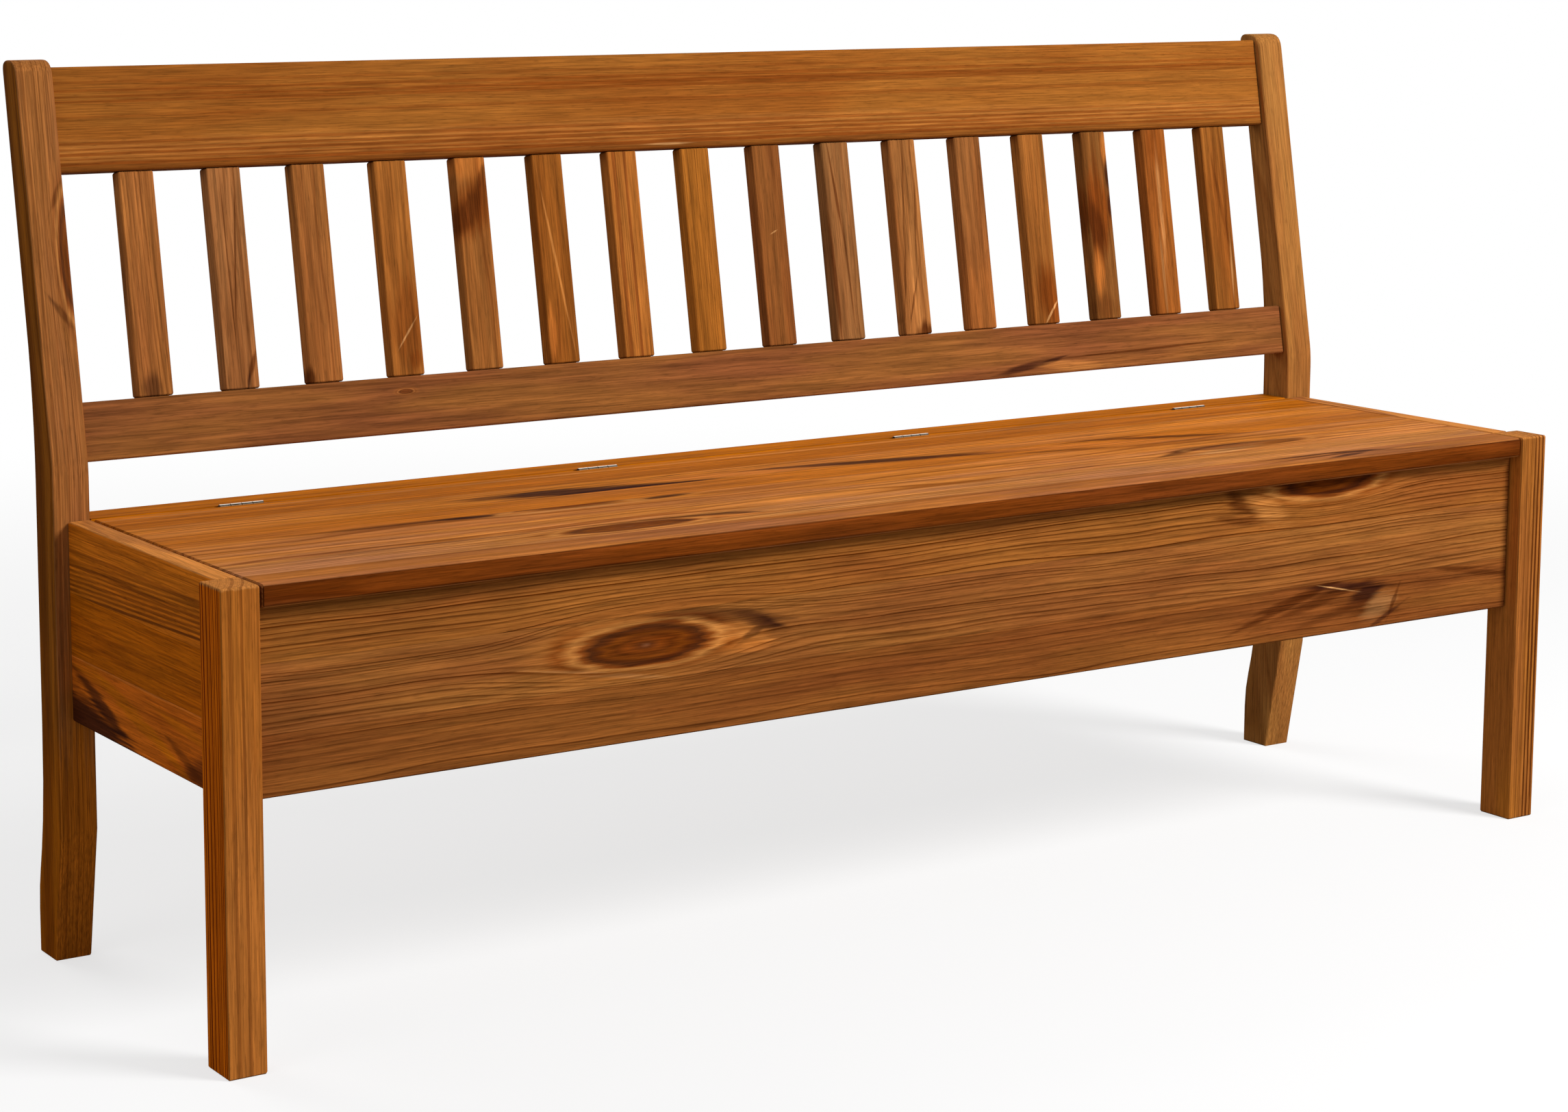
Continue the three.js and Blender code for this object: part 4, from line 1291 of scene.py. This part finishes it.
@dataclass
class Fittings(Assembly):
    """Hinges with their screws, the screws of the lid's battens, and the dowels."""

    hinge_count: int = 4
    leaf_gap: float = 0.3 * MM  # from the plane of the hinge's axis to each leaf
    screw_radius: float = 1.9 * MM
    screw_sink: float = 0.06 * MM
    recess_arms: int = 4
    recess_arm_share: float = 0.66
    recess_width_share: float = 0.26
    recess_depth: float = 0.9 * MM
    head_sides: int = 24
    hole_shares: tuple[float, ...] = (0.14, 0.5, 0.86)
    hole_height_shares: tuple[float, ...] = (0.35, 0.65, 0.35)
    plate_top_drop: float = 3.8 * MM
    pan_radius: float = 3.8 * MM
    pan_rise: float = 1.8 * MM
    pan_face_share: float = 0.78
    pan_edge_share: float = 0.55
    batten_shares: tuple[float, ...] = (0.12, 0.37, 0.63, 0.88)

    def head(self, shape: bmesh.types.BMesh, centre: Vector, outward: Vector, pan: bool) -> None:
        """Adds one screw head with a cross recess.

        Args:
            shape: the mesh that gets it.
            centre: the middle of the head's face.
            outward: the direction the head faces.
            pan: whether it stands proud with a rounded edge, or lies flat in its hole.
        """
        side = outward.orthogonal().normalized()
        other = outward.cross(side)
        radius = self.pan_radius if pan else self.screw_radius
        arm = radius * self.recess_arm_share
        width = radius * self.recess_width_share / 2
        cross = []
        for number in range(self.recess_arms):
            turn = Matrix.Rotation(math.tau * number / self.recess_arms, 2)
            cross.extend(turn @ Vector(corner) for corner in ((arm, -width), (arm, width), (width, width)))

        def ring(points: list, depth: float, share: float = 1.0) -> list[bmesh.types.BMVert]:
            """Adds a loop of points at a depth below the head's face."""
            spread = [(x * share, y * share) for x, y in points]
            return [shape.verts.new(centre + side * x + other * y - outward * depth) for x, y in spread]

        angles = [math.tau * step / self.head_sides for step in range(self.head_sides)]
        circle = [(radius * math.cos(angle), radius * math.sin(angle)) for angle in angles]
        deep = self.pan_rise if pan else self.recess_depth
        outer = ring(circle, 0.0, self.pan_face_share if pan else 1.0)
        shoulder = ring(circle, deep * self.pan_edge_share)
        skirt = ring(circle, deep)
        inner = ring(cross, 0.0)
        floor = ring(cross, deep * self.pan_face_share, self.pan_face_share)
        for loop, below in ((outer, shoulder), (shoulder, skirt), (floor, inner)):
            for number, corner in enumerate(loop):
                after = (number + 1) % len(loop)
                shape.faces.new((corner, below[number], below[after], loop[after]))
        shape.faces.new(floor)
        edges = []
        for loop in (outer, inner):
            for pair in zip(loop, loop[1:] + loop[:1]):
                edges.append(shape.edges.get(pair) or shape.edges.new(pair))
        bmesh.ops.triangle_fill(shape, edges=edges, use_beauty=True, normal=outward)

    def screws(
        self, name: str, body: str, spots: list[Vector], outward: Vector, steel: bpy.types.Material
    ) -> None:
        """Builds a row of screw heads as one piece.

        Args:
            name: the piece's name.
            body: the CAD body it rides on.
            spots: the middles of the heads' faces.
            outward: the direction the heads face.
            steel: their finish.
        """
        shape = bmesh.new()
        for spot in spots:
            self.head(shape, spot, outward, pan=outward == -UP)
        bmesh.ops.recalc_face_normals(shape, faces=shape.faces)
        mesh = bpy.data.meshes.new(name)
        shape.to_mesh(mesh)
        shape.free()
        mesh.materials.append(steel)
        piece = bpy.data.objects.new(name, mesh)
        bpy.context.scene.collection.objects.link(piece)
        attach(piece, body)

    def hinges(self, steel: bpy.types.Material) -> None:
        """Dresses the hinges and adds the screws of their leaves.

        Args:
            steel: their finish.
        """
        for number in range(1, self.hinge_count + 1):
            for part in ("fixed_leaf", "moving_leaf", "pin"):
                self.softener.round_piece(dress(f"hinge_{number}_{part}", steel))
            low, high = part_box(f"hinge_{number}_pin")
            axis = (low + high) / 2
            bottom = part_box(f"hinge_{number}_fixed_leaf")[0].z
            top = axis.z - self.plate_top_drop
            # The heads' faces lie this far from the plane of the axis, each on its leaf's side of it
            clear = self.leaf_gap + self.screw_sink
            for leaf, body, outward in (("fixed", "frame", -BACKWARD), ("moving", "lid", BACKWARD)):
                spots = []
                for share, rise in zip(self.hole_shares, self.hole_height_shares):
                    across = low.x + share * (high.x - low.x)
                    level = bottom + rise * (top - bottom)
                    spots.append(Vector((across, axis.y, level)) - outward * clear)
                self.screws(f"hinge_{number}_{leaf}_screws", body, spots, outward, steel)
            LOG.info("dressed hinge %d", number)

    def battens(self, steel: bpy.types.Material) -> None:
        """Adds the screws that hold the battens to the lid.

        Args:
            steel: their finish.
        """
        for place in THIRDS:
            low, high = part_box(f"lid_batten_{place}")
            middle = (low.x + high.x) / 2
            spots = []
            for share in self.batten_shares:
                spots.append(Vector((middle, low.y + share * (high.y - low.y), low.z - self.pan_rise)))
            self.screws(f"lid_batten_{place}_screws", "lid", spots, -UP, steel)

    def build(self) -> None:
        """Dresses the hinges, screws and dowels."""
        steel = ZincSteel().material("zinc_plated_steel")
        self.hinges(steel)
        self.battens(steel)
        beech = TurnedBeech().material("turned_beech")
        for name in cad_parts:
            if name.startswith("dowel_"):
                self.softener.round_piece(dress(name, beech))


# Studio


@dataclass
class Lamp:
    """A soft box that hangs in a direction from the bench."""

    name: str
    toward: tuple[float, float, float]
    distance: float
    size: float
    level: float  # the light it gives a surface that faces it, where 1 shows a colour as written

    def hang(self, target: Vector) -> None:
        """Makes the lamp.

        Args:
            target: the point it lights.
        """
        light = bpy.data.lights.new(self.name, "AREA")
        light.shape = "DISK"
        light.size = self.size
        light.energy = self.level * (math.pi * self.distance) ** 2
        holder = bpy.data.objects.new(self.name, light)
        away = Vector(self.toward).normalized()
        holder.location = target + away * self.distance
        holder.rotation_mode = "QUATERNION"
        holder.rotation_quaternion = away.to_track_quat("Z", "Y")
        bpy.context.scene.collection.objects.link(holder)


@dataclass
class Studio:
    """A pale floor that runs out into white, soft boxes, and the camera."""

    floor_radius: float = 14.0
    floor_sides: int = 96
    floor_seen: str = "#f2f2f2"
    floor_bounce: str = "#9b9b9b"
    fade_start: float = 1.7
    fade_end: float = 3.4
    fade_least: float = 0.68
    sky_level: float = 0.27
    lamps: tuple[Lamp, ...] = (
        Lamp("key_lamp", (0.5, -0.74, 0.62), 4.8, 1.9, 1.12),
        Lamp("left_fill_lamp", (-0.95, -0.3, 0.35), 8.0, 5.0, 0.14),
        Lamp("rear_fill_lamp", (-0.25, 0.85, 0.6), 8.0, 5.0, 0.3),
    )
    camera_place: tuple[float, float, float] = (-2.0034, -2.8021, 1.0173)
    camera_look: tuple[float, float, float] = (0.52915, 0.83712, -0.13869)
    lens: float = 74.22
    shift: tuple[float, float] = (0.0852, -0.1057)

    def floor(self) -> None:
        """Lays a matt painted floor, which the camera sees fade into the white round it."""
        shape = bmesh.new()
        bmesh.ops.create_circle(shape, cap_ends=True, segments=self.floor_sides, radius=self.floor_radius)
        mesh = bpy.data.meshes.new("floor")
        shape.to_mesh(mesh)
        shape.free()
        made = bpy.data.materials.new("painted_floor")
        made.use_nodes = True
        nodes = Nodes(made.node_tree)
        seen = nodes.add("ShaderNodeLightPath", out="Is Camera Ray")
        links = {MIX_FACTOR: seen, MIX_A: linear(self.floor_bounce), MIX_B: linear(self.floor_seen)}
        paint = nodes.add(MIX, links, MIX_RESULT, data_type="RGBA")
        matt = nodes.add("ShaderNodeBsdfDiffuse", (paint,))
        here = nodes.add(PLACE, out="Object")
        far = nodes.add(VECTOR, (here,), "Value", operation="LENGTH")
        links = (far, self.fade_start, self.fade_end, self.fade_least, 1.0)
        fade = nodes.add(RANGE, links, interpolation_type="SMOOTHSTEP")
        fade = nodes.add(MATH, (fade, seen), operation="MULTIPLY")
        white = nodes.add("ShaderNodeEmission", (WHITE,))
        surface = nodes.add("ShaderNodeMixShader", (fade, matt, white))
        nodes.add("ShaderNodeOutputMaterial", (surface,))
        mesh.materials.append(made)
        floor = bpy.data.objects.new("floor", mesh)
        bpy.context.scene.collection.objects.link(floor)
        floor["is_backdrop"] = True

    def sky(self) -> None:
        """Makes the world: white to the eye, in metal and in glass, and dim as a light."""
        world = bpy.data.worlds.new("studio")
        world.use_nodes = True
        nodes = Nodes(world.node_tree)
        seen = nodes.add("ShaderNodeLightPath", out="Is Camera Ray")
        rays = seen.node.outputs
        for ray in ("Is Glossy Ray", "Is Transmission Ray"):
            seen = nodes.add(MATH, (seen, rays[ray]), operation="MAXIMUM")
        level = nodes.add(RANGE, (seen, 0.0, 1.0, self.sky_level, 1.0))
        glow = nodes.add("ShaderNodeBackground", (WHITE, level))
        nodes.add("ShaderNodeOutputWorld", (glow,))
        bpy.context.scene.world = world

    def camera(self) -> None:
        """Sets up the camera at the photograph's viewing angle."""
        data = bpy.data.cameras.new("camera")
        data.lens = self.lens
        data.shift_x, data.shift_y = self.shift
        holder = bpy.data.objects.new("camera", data)
        holder.location = self.camera_place
        holder.rotation_mode = "QUATERNION"
        holder.rotation_quaternion = Vector(self.camera_look).to_track_quat("-Z", "Y")
        bpy.context.scene.collection.objects.link(holder)
        bpy.context.scene.camera = holder

    def build(self) -> None:
        """Makes the floor, world, lamps and camera."""
        low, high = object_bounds()
        for lamp in self.lamps:
            lamp.hang((low + high) / 2)
        self.floor()
        self.sky()
        self.camera()
        bpy.context.scene.view_settings.view_transform = "Standard"
        LOG.info("set up the studio")


def main() -> None:
    """Dresses the bench."""
    logging.basicConfig(level=logging.INFO, format="%(name)s: %(message)s")
    bpy.context.view_layer.update()
    softener = Softener()
    Studio().build()
    for part in (Uprights, Box, Bottom, Seat, Back, Fittings):
        part(softener).build()
        LOG.info("built %s", part.__name__)
    bpy.context.view_layer.update()


if __name__ == "__main__":
    main()
